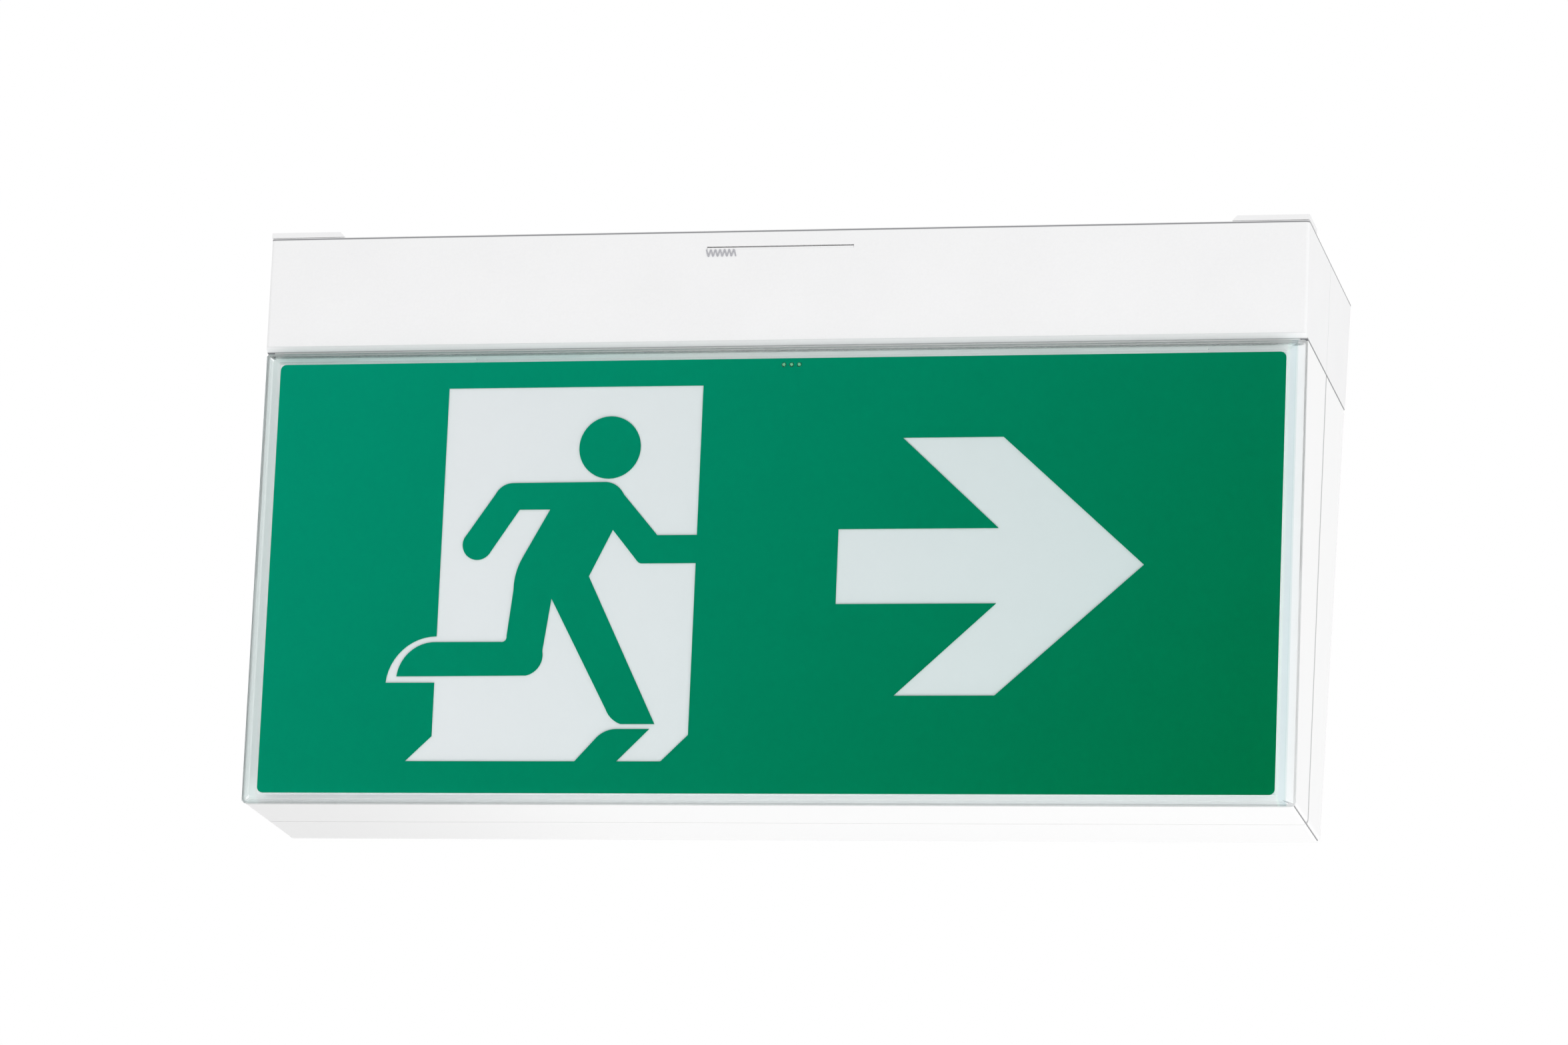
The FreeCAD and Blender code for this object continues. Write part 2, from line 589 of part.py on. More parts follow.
def make_latch():
    """Release latch: a slide with a thin nose behind the hood's slot, and its leaf spring."""
    front = f"(-{PLATE_FRONT} + skirt_wall + latch_gap)"
    top = f"({PLATE_LOW} - latch_gap)"
    latch = new_body("release_latch")
    slab = rectangle("-latch_width / 2", "latch_width / 2", front, f"{front} + latch_deep")
    pad_polygon(latch, "XY", slab, "latch_high", offset=f"{top} - latch_high")
    tip = f"({half(SLOT_Z)} - hood_wall - nose_gap)"
    nose = rectangle("-latch_width / 2", "latch_width / 2", f"{SLOT_Z} - nose_high / 2", f"{SLOT_Z} + nose_high / 2")
    pad_polygon(latch, "XZ", nose, f"{tip} + {front} + 1", offset=f"-({front} + 1)")
    relief = rectangle("-spring_half", "spring_half", f"{front} + latch_deep / 3", f"{front} + latch_deep * 2 / 3")
    pocket_polygon(latch, "XY", relief, "latch_high / 2", offset=f"{top} - latch_high", reverse=True)

    spring = doc.addObject("Part::Feature", "latch_spring")
    spring.Label = "latch_spring"
    thick, reach = value("spring_thick"), value("spring_half")
    near = value(f"{front} + latch_deep")
    far = value(f"{front} + latch_deep + spring_room")
    outer = Part.Arc(V(-reach, far, 0), V(0, near, 0), V(reach, far, 0)).toShape()
    inner = Part.Arc(V(-reach + thick, far, 0), V(0, near + thick, 0), V(reach - thick, far, 0)).toShape()
    left = Part.makeLine(V(-reach, far, 0), V(-reach + thick, far, 0))
    right = Part.makeLine(V(reach - thick, far, 0), V(reach, far, 0))
    strip = Part.Face(Part.Wire(Part.__sortEdges__([outer, right, inner, left])))
    spring.Shape = strip.extrude(V(0, 0, value("spring_high")))
    middle = f"{top} - latch_high / 2 - spring_high / 2"
    spring.Placement = FreeCAD.Placement(V(0, 0, value(middle)), FreeCAD.Rotation())
    NODES.append(spring)


def make_terminals():
    """Supply terminal block under the plate, with clamp screws and the contact pads."""
    low = f"({PLATE_LOW} - block_high)"
    end = "(block_start + block_length)"
    body = box("terminal_blank", "block_start", end, "-block_wide / 2", "block_wide / 2", low, PLATE_LOW, node=False)
    tools, screws, pads = [], [], []
    for pole in range(3):
        x = f"(block_start + block_length / 2 + {pole - 1} * pole_pitch)"
        screw_y = "(-block_wide / 4)"
        tools.append(cylinder(f"well_{pole}", x, screw_y, low, "screw_well", "well_deep", node=False))
        tools.append(box(
            f"wire_{pole}", f"{x} - wire_hole", f"{x} + wire_hole", "-block_wide / 2", "-block_wide / 8",
            f"{low} + well_deep - wire_hole", f"{low} + well_deep + wire_hole", node=False))
        head = cylinder(f"clamp_{pole}", x, screw_y, f"{low} + 1", "clamp_screw", "well_deep - 1", node=False)
        slot = box(
            f"clamp_slot_{pole}", f"{x} - clamp_screw", f"{x} + clamp_screw", f"{screw_y} - 0.4", f"{screw_y} + 0.4",
            f"{low} + 1", f"{low} + 2", node=False)
        screws.append(cut(f"clamp_screw_{pole}", head, [slot], node=False))
        pads.append(box(
            f"contact_pad_{pole}", f"{x} - contact_size / 2", f"{x} + contact_size / 2",
            "block_wide / 2 - 1 - contact_size", "block_wide / 2 - 1", f"{low} - contact_thick", low, node=False))
    cut("terminal_block", body, tools)
    group("clamp_screws", screws)
    group("contact_pads", pads)


def make_hinge_pins():
    """Two steel pins: pressed in the hood's knuckles, turning in the plate's."""
    reach = "(knuckle_plate / 2 + knuckle_side + knuckle_hood)"
    pins = []
    for side in (-1, 1):
        pins.append(cylinder(
            f"hinge_pin_{'left' if side < 0 else 'right'}", f"{side} * hinge_reach - {reach}",
            HINGE_Y, HINGE_Z, "pin_radius", f"2 * {reach}", axis="x", node=False))
    group("hinge_pins", pins)


# ---------------------------------------------------------------- hood

def make_hood():
    """White moulded hood: a leaning ring of four walls with a bevelled lower edge."""
    hood = new_body("hood")
    bevel_z = f"({JOINT_Z} + hood_bevel_high)"
    outer = [
        (f"-{half(HOOD_TOP)}", HOOD_TOP), (f"-{half(bevel_z)}", bevel_z),
        (f"-{half(JOINT_Z)} + hood_bevel_deep", JOINT_Z), (f"{half(JOINT_Z)} - hood_bevel_deep", JOINT_Z),
        (half(bevel_z), bevel_z), (half(HOOD_TOP), HOOD_TOP)]
    pad_polygon(hood, "YZ", outer, "body_width", symmetric=True)
    width = value("body_width")
    bevel_now = value(bevel_z)
    fillet(hood, "hood_corner", lambda edge: (
        abs(abs(edge.CenterOfMass.x) - width / 2) < 1e-3
        and abs(edge.BoundBox.ZMin - bevel_now) < 1e-3 and edge.BoundBox.ZLength > 1))
    above, below = f"({HOOD_TOP} + 1)", f"({JOINT_Z} - 1)"
    hollow = [
        (f"-{half(above)} + hood_wall", above), (f"-{half(below)} + hood_wall", below),
        (f"{half(below)} - hood_wall", below), (f"{half(above)} - hood_wall", above)]
    pocket_polygon(hood, "YZ", hollow, "body_width - 2 * hood_wall", symmetric=True)

    # release slot in the front
    slot = rectangle(
        "-slot_length / 2", "slot_length / 2", f"{SLOT_Z} - slot_high / 2", f"{SLOT_Z} + slot_high / 2")
    pocket_polygon(hood, "XZ", slot, "depth_top", reverse=True)

    # parting grooves up the middle of both ends
    sketch = sketch_on(hood, "XY")
    for side in (-1, 1):
        add_rectangle(
            sketch, f"{side} * (body_width / 2 - crease)", f"{side} * (body_width / 2 + 1)", "-crease / 2", "crease / 2")
    feature(hood, "Pocket", sketch, "3 * hood_height", symmetric=True)

    # bosses for the tray screws, each webbed to its end wall
    bosses = sketch_on(hood, "XY", TRAY_TOP)
    webs = sketch_on(hood, "XY", TRAY_TOP)
    holes = sketch_on(hood, "XY", TRAY_TOP)
    for sx in (-1, 1):
        for sy in (-1, 1):
            x, y = f"{sx} * (body_width / 2 - boss_inset)", f"{sy} * boss_spread"
            add_circle(bosses, x, y, "boss_radius")
            add_rectangle(
                webs, x, f"{sx} * (body_width / 2 - hood_wall / 2)", f"{y} - boss_radius / 2", f"{y} + boss_radius / 2")
            add_circle(holes, x, y, "tray_screw + screw_play")
    feature(hood, "Pad", webs, "boss_high")
    feature(hood, "Pad", bosses, "boss_high")
    feature(hood, "Pocket", holes, "tray_screw_long", reverse=True)

    # hinge: a notch in the rear wall for the plate's knuckle, and a knuckle on each side of it
    for side in (-1, 1):
        middle = f"{side} * hinge_reach"
        notch = rectangle(
            f"{middle} - knuckle_plate / 2 - knuckle_side", f"{middle} + knuckle_plate / 2 + knuckle_side",
            f"{HOOD_TOP} - notch_deep", f"{HOOD_TOP} + 1")
        pocket_polygon(hood, "XZ", notch, "depth_top")
        for hand in (-1, 1):
            inner = f"({middle} + {hand} * (knuckle_plate / 2 + knuckle_side))"
            outer_end = f"({middle} + {hand} * (knuckle_plate / 2 + knuckle_side + knuckle_hood))"
            barrel = sketch_on(hood, "YZ", inner if hand > 0 else outer_end)
            add_circle(barrel, HINGE_Y, HINGE_Z, "knuckle_radius")
            feature(hood, "Pad", barrel, "knuckle_hood")
    for side in (-1, 1):
        offset = f"{side} * hinge_reach - knuckle_plate / 2 - knuckle_side - knuckle_hood"
        bore = sketch_on(hood, "YZ", offset)
        add_circle(bore, HINGE_Y, HINGE_Z, "pin_radius + pin_seat")
        feature(hood, "Pocket", bore, "knuckle_plate + 2 * knuckle_side + 2 * knuckle_hood", reverse=True)
    return hood


# ---------------------------------------------------------------- gear tray and electronics

def make_tray():
    """Gear tray that closes the hood's underside, with board standoffs and a light-pipe hole."""
    tray = new_body("gear_tray")
    end = "(body_width / 2 - hood_wall - tray_gap)"
    side = f"({half(TRAY_LOW)} - hood_wall - tray_gap)"
    pad_polygon(tray, "XY", rectangle(f"-{end}", end, f"-{side}", side), "tray_thick", offset=TRAY_LOW)
    standoffs = sketch_on(tray, "XY", TRAY_TOP)
    for x in ("(board_start + board_hole_inset)", "(board_start + board_length - board_hole_inset)"):
        for y in ("(-board_wide / 2 + board_hole_inset)", "(board_wide / 2 - board_hole_inset)"):
            add_rectangle(
                standoffs, f"{x} - standoff_wide / 2", f"{x} + standoff_wide / 2",
                f"{y} - standoff_wide / 2", f"{y} + standoff_wide / 2")
    feature(tray, "Pad", standoffs, "standoff")
    holes = sketch_on(tray, "XY")
    for sx in (-1, 1):
        for sy in (-1, 1):
            add_circle(holes, f"{sx} * (body_width / 2 - boss_inset)", f"{sy} * boss_spread", "tray_screw + screw_play")
    feature(tray, "Pocket", holes, "3 * hood_height", symmetric=True)
    wires = sketch_on(tray, "XY")
    add_circle(wires, LAMP_LEAD_X, LAMP_LEAD_Y, "lamp_lead_radius + lead_play")
    feature(tray, "Pocket", wires, "3 * hood_height", symmetric=True)

    screws = []
    number = 0
    for sx in (-1, 1):
        for sy in (-1, 1):
            number += 1
            x, y = f"{sx} * (body_width / 2 - boss_inset)", f"{sy} * boss_spread"
            shank = cylinder(
                f"tray_shank_{number}", x, y, TRAY_LOW, "tray_screw", "tray_thick + tray_screw_long - 1", node=False)
            head = cylinder(f"tray_head_{number}", x, y, f"{TRAY_LOW} - tray_head_high", "tray_head", "tray_head_high",
                            node=False)
            screws.append(fuse(f"tray_screw_{number}", [shank, head], node=False))
    group("tray_screws", screws)


def make_driver():
    """Driver board on its standoffs, with transformer, capacitors, chip, sockets and contacts."""
    x_end = "(board_start + board_length)"
    blank = box(
        "board_blank", "board_start", x_end, "-board_wide / 2", "board_wide / 2", BOARD_LOW, BOARD_TOP, node=False)
    holes, screws = [], []
    number = 0
    for x in ("(board_start + board_hole_inset)", f"({x_end} - board_hole_inset)"):
        for y in ("(-board_wide / 2 + board_hole_inset)", "(board_wide / 2 - board_hole_inset)"):
            number += 1
            holes.append(cylinder(
                f"board_hole_{number}", x, y, BOARD_LOW, "tray_screw + screw_play", "board_thick", node=False))
            shank = cylinder(f"board_shank_{number}", x, y, BOARD_LOW, "tray_screw", "board_thick", node=False)
            head = cylinder(f"board_head_{number}", x, y, BOARD_TOP, "tray_head", "tray_head_high", node=False)
            screws.append(fuse(f"board_screw_{number}", [shank, head], node=False))
    cut("driver_board", blank, holes)
    group("board_screws", screws)

    # transformer: a core with a window, and the coil that fills it
    core_left, core_right = "(board_start + core_start)", "(board_start + core_start + core_long)"
    front, back = "(-core_side - core_wide / 2)", "(-core_side + core_wide / 2)"
    core = box(
        "core_blank", core_left, core_right, front, back, BOARD_TOP, f"{BOARD_TOP} + core_high", node=False)
    window = box(
        "core_window", f"{core_left} + core_limb", f"{core_right} - core_limb", front, back,
        f"{BOARD_TOP} + core_yoke", f"{BOARD_TOP} + core_high - core_yoke", node=False)
    cut("transformer_core", core, [window])
    coil = new_body("transformer_coil")
    pad_polygon(
        coil, "XZ", rectangle(
            f"{core_left} + core_limb + coil_play", f"{core_right} - core_limb - coil_play",
            f"{BOARD_TOP} + core_yoke", f"{BOARD_TOP} + core_high - core_yoke - coil_play"),
        "core_wide + 2 * coil_over", offset="core_side - core_wide / 2 - coil_over")
    fillet(coil, "coil_round", lambda edge: edge.BoundBox.YLength > value("core_wide"))

    cans = []
    places = [
        ("can_start", "-can_side", "can_radius", "can_high"),
        ("can_start + can_pitch", "-can_side", "small_can_radius", "small_can_high"),
        ("far_can_start", "far_can_side", "can_radius", "can_high")]
    for number, (x, y, radius, height) in enumerate(places):
        can = new_body(f"capacitor_{number + 1}")
        NODES.remove(can)
        sketch = sketch_on(can, "XZ")
        top = f"({BOARD_TOP} + {height})"
        add_polygon(sketch, [
            ("0", BOARD_TOP), (radius, BOARD_TOP), (radius, f"{top} - can_ease"), (f"{radius} - can_ease", top),
            ("0", top)])
        turned = can.newObject("PartDesign::Revolution", can.Name + "_turned")
        turned.Profile = sketch
        turned.ReferenceAxis = (sketch, ["V_Axis"])
        turned.Angle = 360
        can.setExpression("Placement.Base.x", bind(f"board_start + {x}"))
        can.setExpression("Placement.Base.y", bind(y))
        cans.append(can)
    group("capacitors", cans)
    chip_left = "(board_start + chip_start)"
    box("driver_chip", chip_left, f"{chip_left} + chip_long", "-chip_wide", "0", BOARD_TOP,
        f"{BOARD_TOP} + chip_high")

    # battery socket at the left end of the board, lamp socket beside it
    sockets = []
    mouth_left, socket_right = "(board_start + socket_inset)", "(board_start + socket_inset + socket_deep)"
    for number, y in enumerate(("0", "lamp_socket_y")):
        shell = box(f"socket_shell_{number}", mouth_left, socket_right, f"{y} - socket_wide / 2",
                    f"{y} + socket_wide / 2", BOARD_TOP, f"{BOARD_TOP} + socket_high", node=False)
        mouth = box(f"socket_mouth_{number}", mouth_left, f"{socket_right} - 1.5 * socket_wall",
                    f"{y} - socket_wide / 2 + socket_wall", f"{y} + socket_wide / 2 - socket_wall",
                    f"{BOARD_TOP} + socket_wall", f"{BOARD_TOP} + socket_high - socket_wall", node=False)
        sockets.append(cut(f"board_socket_{number}", shell, [mouth], node=False))
    group("board_sockets", sockets)

    # spring contacts: a holder on the board and three bowed fingers under the contact pads
    finger_top = f"({PLATE_LOW} - block_high - contact_thick - contact_gap)"
    holder_top = f"({finger_top} - finger_rise)"
    holder_y = "(block_wide / 2 - 1 - contact_size / 2)"
    box("contact_holder", "block_start", "block_start + block_length", f"{holder_y} - holder_wide / 2",
        f"{holder_y} + holder_wide / 2",
        BOARD_TOP, holder_top)
    fingers = []
    for pole in range(3):
        x = f"(block_start + block_length / 2 + {pole - 1} * pole_pitch - finger_width / 2)"
        finger = new_body(f"contact_finger_{pole + 1}")
        NODES.remove(finger)
        y0, z0, z1 = holder_y, holder_top, finger_top
        pad_polygon(finger, "YZ", [
            (f"{y0} - 4", z0), (f"{y0} + 3.5", z0), (f"{y0} + 3.5", f"{z0} + finger_thick"),
            (f"{y0} - 3.2", f"{z0} + finger_thick"), (f"{y0} - 0.8", f"{z1} - finger_thick"),
            (f"{y0} + 1.2", f"{z1} - finger_thick"), (f"{y0} + 2.6", f"{z1} - 4 * finger_thick"),
            (f"{y0} + 3.1", f"{z1} - 4 * finger_thick + 0.3"), (f"{y0} + 1.5", z1), (f"{y0} - 1.1", z1)],
            "finger_width", offset=x)
        fingers.append(finger)
    group("contact_fingers", fingers)


def make_battery():
    """Four cells side by side in two rows, two cradles, and the lead to the board."""
    axis_z = f"({TRAY_TOP} + cell_radius + 0.5)"
    row_y = "(cell_radius + cell_gap / 2)"
    cells = []
    for row in (-1, 1):
        for place in (0, 1):
            can = cylinder(
                f"cell_{place}_{'a' if row < 0 else 'b'}", f"{CELL_START} + {place} * (cell_length + cell_gap)",
                f"{row} * {row_y}", axis_z, "cell_radius", "cell_length", axis="x", node=False)
            cells.append(can)
    group("battery_cells", cells)

    cradles = []
    outer = f"({row_y} + cell_radius + cradle_wall)"
    for number, share in enumerate((0.5, 1.5)):
        cradle = new_body(f"cradle_{number}")
        NODES.remove(cradle)
        left = f"({CELL_START} + {share} * (cell_length + cell_gap) - cradle_wide / 2)"
        pad_polygon(cradle, "YZ", rectangle(f"-{outer}", outer, TRAY_TOP, f"{TRAY_TOP} + cradle_high"),
                    "cradle_wide", offset=left)
        beds = sketch_on(cradle, "YZ", f"{left} - 1")
        for row in (-1, 1):
            add_circle(beds, f"{row} * {row_y}", axis_z, "cell_radius + cradle_play")
        feature(cradle, "Pocket", beds, "cradle_wide + 2", reverse=True)
        cradles.append(cradle)
    group("battery_cradles", cradles)

    # the lead leaves the end of the front row and runs into the board's battery socket
    start_x = value(f"{CELL_START} + 2 * cell_length + cell_gap")
    plug_x = value("board_start + socket_inset")
    z_cell, z_plug = value(axis_z), value(PLUG_Z)
    y_cell = value(row_y)
    route = [V(start_x, y_cell, z_cell), V(start_x + 13, y_cell, z_cell), V(plug_x - 14, 0.5, z_plug),
             V(plug_x - value("plug_out"), 0, z_plug)]
    lead = doc.addObject("Part::Feature", "battery_lead")
    lead.Label = "battery_lead"
    lead.Shape = tube_along(route, value("lead_radius"))
    NODES.append(lead)
    plug_half = "(socket_wide / 2 - socket_wall - plug_gap)"
    plug_high = "(socket_high / 2 - socket_wall - plug_gap)"
    plug_block = box(
        "plug_block", "board_start + socket_inset - plug_out", "board_start + socket_inset + plug_in",
        f"-{plug_half}", plug_half, f"{PLUG_Z} - {plug_high}", f"{PLUG_Z} + {plug_high}", node=False)
    plug_block.Label = "battery_plug"
    NODES.append(plug_block)


def tube_along(route, radius):
    """Round tube along straight runs, each corner of the route taken in two short steps."""
    share = 0.4
    points = [route[0]]
    for before, corner, after in zip(route, route[1:], route[2:]):
        run_in, run_out = corner - before, after - corner
        back = share * min(run_in.Length, run_out.Length)
        a = corner - V(run_in).normalize() * back
        b = corner + V(run_out).normalize() * back
        points += [a, corner * 0.5 + (a + b) * 0.25, b]
    points.append(route[-1])
    path = Part.makePolygon(points)
    ring = Part.Wire(Part.Circle(route[0], route[1] - route[0], radius).toShape())
    tube = path.makePipeShell([ring], True, False, 1)
    expected = math.pi * radius * radius * path.Length
    if abs(tube.Volume - expected) > 0.01 * expected:
        raise RuntimeError("a lead's tube has the wrong volume")
    return tube


def make_lamps():
    """LED strip board on the tray's underside, its LEDs, and the status light pipe."""
    low = f"({TRAY_LOW} - board_thick)"
    box("led_board", "-led_board_length / 2", "led_board_length / 2", "-led_board_wide / 2", "led_board_wide / 2",
        low, TRAY_LOW)
    count = int(value("led_count"))
    lamps = []
    for number in range(count):
        x = f"(led_board_length * ({number} + 0.5) / {count} - led_board_length / 2)"
        lamps.append(box(
            f"lamp_{number}", f"{x} - led_size / 2", f"{x} + led_size / 2", "-led_size / 2", "led_size / 2",
            f"{low} - led_high", low, node=False))
    group("led_lamps", lamps)

    # lead from the board's lamp socket down through the tray to the LED strip
    x, y = value(LAMP_LEAD_X), value(LAMP_LEAD_Y)
    socket_y, z_plug = value("lamp_socket_y"), value(PLUG_Z)
    route = [V(value("board_start + socket_inset + plug_in"), socket_y, z_plug), V(x, socket_y, z_plug), V(x, y, z_plug),
             V(x, y, value(TRAY_LOW))]
    lead = doc.addObject("Part::Feature", "lamp_lead")
    lead.Label = "lamp_lead"
    lead.Shape = tube_along(route, value("lamp_lead_radius"))
    NODES.append(lead)

    pipe = new_body("status_light_pipe")
    front_now = f"(-{plane_y(PRONG_Z, f'{SHELL_FRONT} + flange_thick + 0.4')})"
    foot = f"({PRONG_Z} - prong_radius - 0.4)"
    bar = rectangle(f"-{front_now}", f"-{front_now} + pipe_thick", foot, TRAY_LOW)
    pad_polygon(pipe, "YZ", bar, "pipe_width", offset="pipe_left")
    prongs = sketch_on(pipe, "XZ", front_now)
    for x in PRONGS:
        add_circle(prongs, x, PRONG_Z, "prong_radius")
    feature(pipe, "Pad", prongs, f"-({plane_y(PRONG_Z, f'{FILM_FRONT} + 0.05')}) - {front_now}")


# ---------------------------------------------------------------- light box shells and covers

def make_shell(label, side):
    """Half shell of the light box: end walls, floor and a flanged window for its cover."""
    shell = new_body(label)

    def world(points):
        return [(f"{-side} * ({y})", z) for y, z in points]

    top, low = SHELL_TOP, BASE_Z
    seam = "(-seam_gap / 2)"
    outer = world([
        (plane_y(top, SHELL_FRONT), top), (plane_y(low, SHELL_FRONT), low), (seam, low), (seam, top)])
    pad_polygon(shell, "YZ", outer, "body_width", symmetric=True)
    width, floor = value("body_width"), value(BASE_Z)
    fillet(shell, "shell_corner", lambda edge: (
        abs(abs(edge.CenterOfMass.x) - width / 2) < 1e-3 and abs(edge.CenterOfMass.z - floor) < 1e-3))
    seat_in = f"({PANEL_BACK} + film_gap)"
    seat_top = f"({JOINT_Z} - seat_margin * 0.8)"
    seat_low = f"({BASE_Z} + seat_margin * 0.8)"
    seat = world([
        (plane_y(seat_top, seat_in), seat_top), (plane_y(seat_low, seat_in), seat_low),
        (plane_y(seat_low, f"{SHELL_FRONT} + 1"), seat_low), (plane_y(seat_top, f"{SHELL_FRONT} + 1"), seat_top)])
    pad_polygon(shell, "YZ", seat, "body_width - 2 * seat_margin", symmetric=True)
    lip_top = f"({JOINT_Z} + lip_high)"
    root = f"({SHELL_TOP} - lip_thick)"
    lip_front = "(hood_wall + lip_gap)"
    step_back = f"({SHELL_FRONT} + flange_thick / 2)"
    lip = world([
        (plane_y(lip_top, lip_front), lip_top), (plane_y(SHELL_TOP, lip_front), SHELL_TOP),
        (plane_y(SHELL_TOP, step_back), SHELL_TOP), (plane_y(root, step_back), root),
        (seam, root), (seam, lip_top)])
    pad_polygon(shell, "YZ", lip, "body_width - 2 * hood_wall - 2 * lip_gap", symmetric=True)

    # ribs that the cover's top border clips over
    rib_top = f"({JOINT_Z} - clip_drop)"
    rib_low = f"({rib_top} - clip_high)"
    rib = world([
        (plane_y(rib_top, f"{SHELL_FRONT} - clip_deep"), rib_top), (plane_y(rib_low, f"{SHELL_FRONT} - clip_deep"), rib_low),
        (plane_y(rib_low, step_back), rib_low), (plane_y(rib_top, step_back), rib_top)])
    for hand in (-1, 1):
        pad_polygon(shell, "YZ", rib, "clip_length", offset=f"{hand} * clip_reach - clip_length / 2")

    above = f"({JOINT_Z} + hood_height / 2)"
    inner_low = f"({BASE_Z} + shell_wall)"
    inner_front = f"({SHELL_FRONT} + flange_thick)"
    hollow = world([
        (plane_y(above, inner_front), above), (plane_y(inner_low, inner_front), inner_low),
        ("1", inner_low), ("1", above)])
    pocket_polygon(shell, "YZ", hollow, "body_width - 2 * hood_wall - 2 * lip_gap - 2 * lip_thick", symmetric=True)
    window_top = f"({PRONG_Z} + 2 * prong_radius + prong_play)"
    window_low = f"({BASE_Z} + flange_width)"
    window = world([
        (f"-{half(HOOD_TOP)} - 20", window_top), (f"-{half(HOOD_TOP)} - 20", window_low),
        ("1", window_low), ("1", window_top)])
    pocket_polygon(shell, "YZ", window, "body_width - 2 * flange_width - 2 * shell_wall", symmetric=True)
    return shell


def cover_sections(inset, edge_inset, shift):
    """The outlines of a cover from its back edge to its face: half width, top, bottom, depth."""
    rim_share = "rim_wide / (rim_wide + groove_wide)"
    steps = [
        ("0", "0", "0", "cover_recess + cover_wall"),
        ("0", "0", "0", "cover_recess"),
        ("rim_wide", f"top_bevel * {rim_share}", f"low_bevel * {rim_share}", "cover_recess - rim_rise"),
        ("rim_wide + groove_wide", "top_bevel", "low_bevel", "cover_recess - rim_rise - groove_rise")]
    insets = [edge_inset, edge_inset, inset, inset]
    return [(f"(body_width / 2 - ({side}) - ({margin}))", f"({COVER_TOP} - ({top}) - ({margin}))",
             f"(-{FACE_LENGTH} + ({low}) + ({margin}))", f"({depth} + ({shift}))")
            for (side, top, low, depth), margin in zip(steps, insets)]


def make_cover(label, side):
    """Dished cover with a two-step bevelled border, 1.5 mm thick all over."""
    cover = new_body(label)
    outer = []
    for half_width, top, low, depth in cover_sections("0", "0", "0"):
        sketch = sketch_on(cover, "XZ", f"-({depth})")
        add_eased_rectangle(sketch, half_width, low, top, "cover_corner")
        outer.append(sketch)
    loft = cover.newObject("PartDesign::AdditiveLoft", label + "_outside")
    loft.Profile = outer[0]
    loft.Sections = outer[1:]
    loft.Ruled = True
    inner = []
    for half_width, top, low, depth in cover_sections("cover_inset", "cover_edge", "cover_wall"):
        sketch = sketch_on(cover, "XZ", f"-({depth})")
        add_rectangle(sketch, f"-{half_width}", half_width, low, top)
        inner.append(sketch)
    hollow = cover.newObject("PartDesign::SubtractiveLoft", label + "_inside")
    hollow.Profile = inner[1]
    hollow.Sections = inner[2:]
    hollow.Ruled = True
    tilt_to_face(cover, side)
    return cover


def make_panels():
    """White panel behind the legend, and the white reflector in the same seat at the rear."""
    for label, side in (("legend_panel", -1), ("rear_reflector", 1)):
        panel = new_body(label)
        sketch = sketch_on(panel, "XZ", f"-{PANEL_FRONT}")
        add_rectangle(sketch, f"-{LEGEND_HALF}", LEGEND_HALF, LEGEND_LOW, LEGEND_TOP)
        feature(panel, "Pad", sketch, "panel_thick", reverse=True)
        if side < 0:
            holes = sketch_on(panel, "XZ")
            for x in PRONGS:
                add_circle(holes, x, f"{LEGEND_TOP} - prong_drop", "prong_radius + prong_play")
            feature(panel, "Pocket", holes, "8 * panel_thick", symmetric=True)
        tilt_to_face(panel, side)


def outline(start, steps, scale, centre):
    """Closed wire in the XZ plane: a step of two numbers is a line, of four an arc through a point."""
    def spot(x, z):
        return V(x * scale, 0, z * scale) + centre

    here = spot(*start)
    edges = []
    for step in steps:
        there = spot(*step[-2:])
        if len(step) == 4:
            edges.append(Part.Arc(here, spot(*step[:2]), there).toShape())
        else:
            edges.append(Part.LineSegment(here, there).toShape())
        here = there
    return Part.Wire(edges)


# The standard door, running figure and arrow, in millimetres on a legend 147 mm high,
# measured from its middle. One closed outline bounds the open part of the doorway: it goes
# round the door frame and comes back along the figure's outline.
LEGEND_DRAWN_HIGH = 147.0
DOOR_START = (-24.1, 64.6)
DOOR_STEPS = [
    (-112.9, 64.6), (-112.9, -20.4),                       # top and left of the doorway
    (-123.9, -24.4, -130.0, -36.2), (-112.9, -36.2),       # outline round the rear foot
    (-112.9, -54.3), (-121.8, -62.8), (-62.8, -62.8),      # left foot of the door, floor line
    (-56.3, -55.6), (-53.0, -52.9, -48.6, -51.9),          # shadow under the front foot
    (-37.6, -51.9), (-48.5, -62.8), (-33.2, -62.8),
    (-24.1, -53.9), (-24.1, 4.1),                          # right foot and side of the doorway
    (-42.9, 4.1), (-43.7, 4.3, -44.3, 4.8),                # under the front arm
    (-53.3, 15.6), (-60.9, -0.2),                          # chest and knee
    (-35.9, -50.2), (-47.7, -50.2),                        # front leg and foot
    (-50.9, -48.2, -52.9, -45.2), (-73.5, -7.6),           # heel and inside of the front leg
    (-75.8, -25.4), (-77.2, -31.4, -81.2, -33.8),          # back leg down to the knee
    (-126.2, -34.0), (-121.6, -25.4, -112.6, -22.4),       # rear foot
    (-90.4, -22.4), (-88.9, -22.0, -88.4, -20.4),          # ankle
    (-86.8, -5.0), (-86.2, 1.0, -84.0, 6.6),               # back of the leg and hip
    (-75.3, 22.7), (-86.1, 22.7),                          # back and rear armpit
    (-95.4, 8.6), (-102.1, 6.0, -104.9, 13.0),             # rear arm and hand
    (-94.7, 28.0), (-92.0, 30.9, -88.4, 31.8),             # shoulder
    (-56.2, 31.9), (-52.6, 30.6, -50.1, 27.7),             # neck and front shoulder
    (-37.8, 13.6), (-24.1, 13.6), (-24.1, 64.6)]           # front arm, back to the doorway
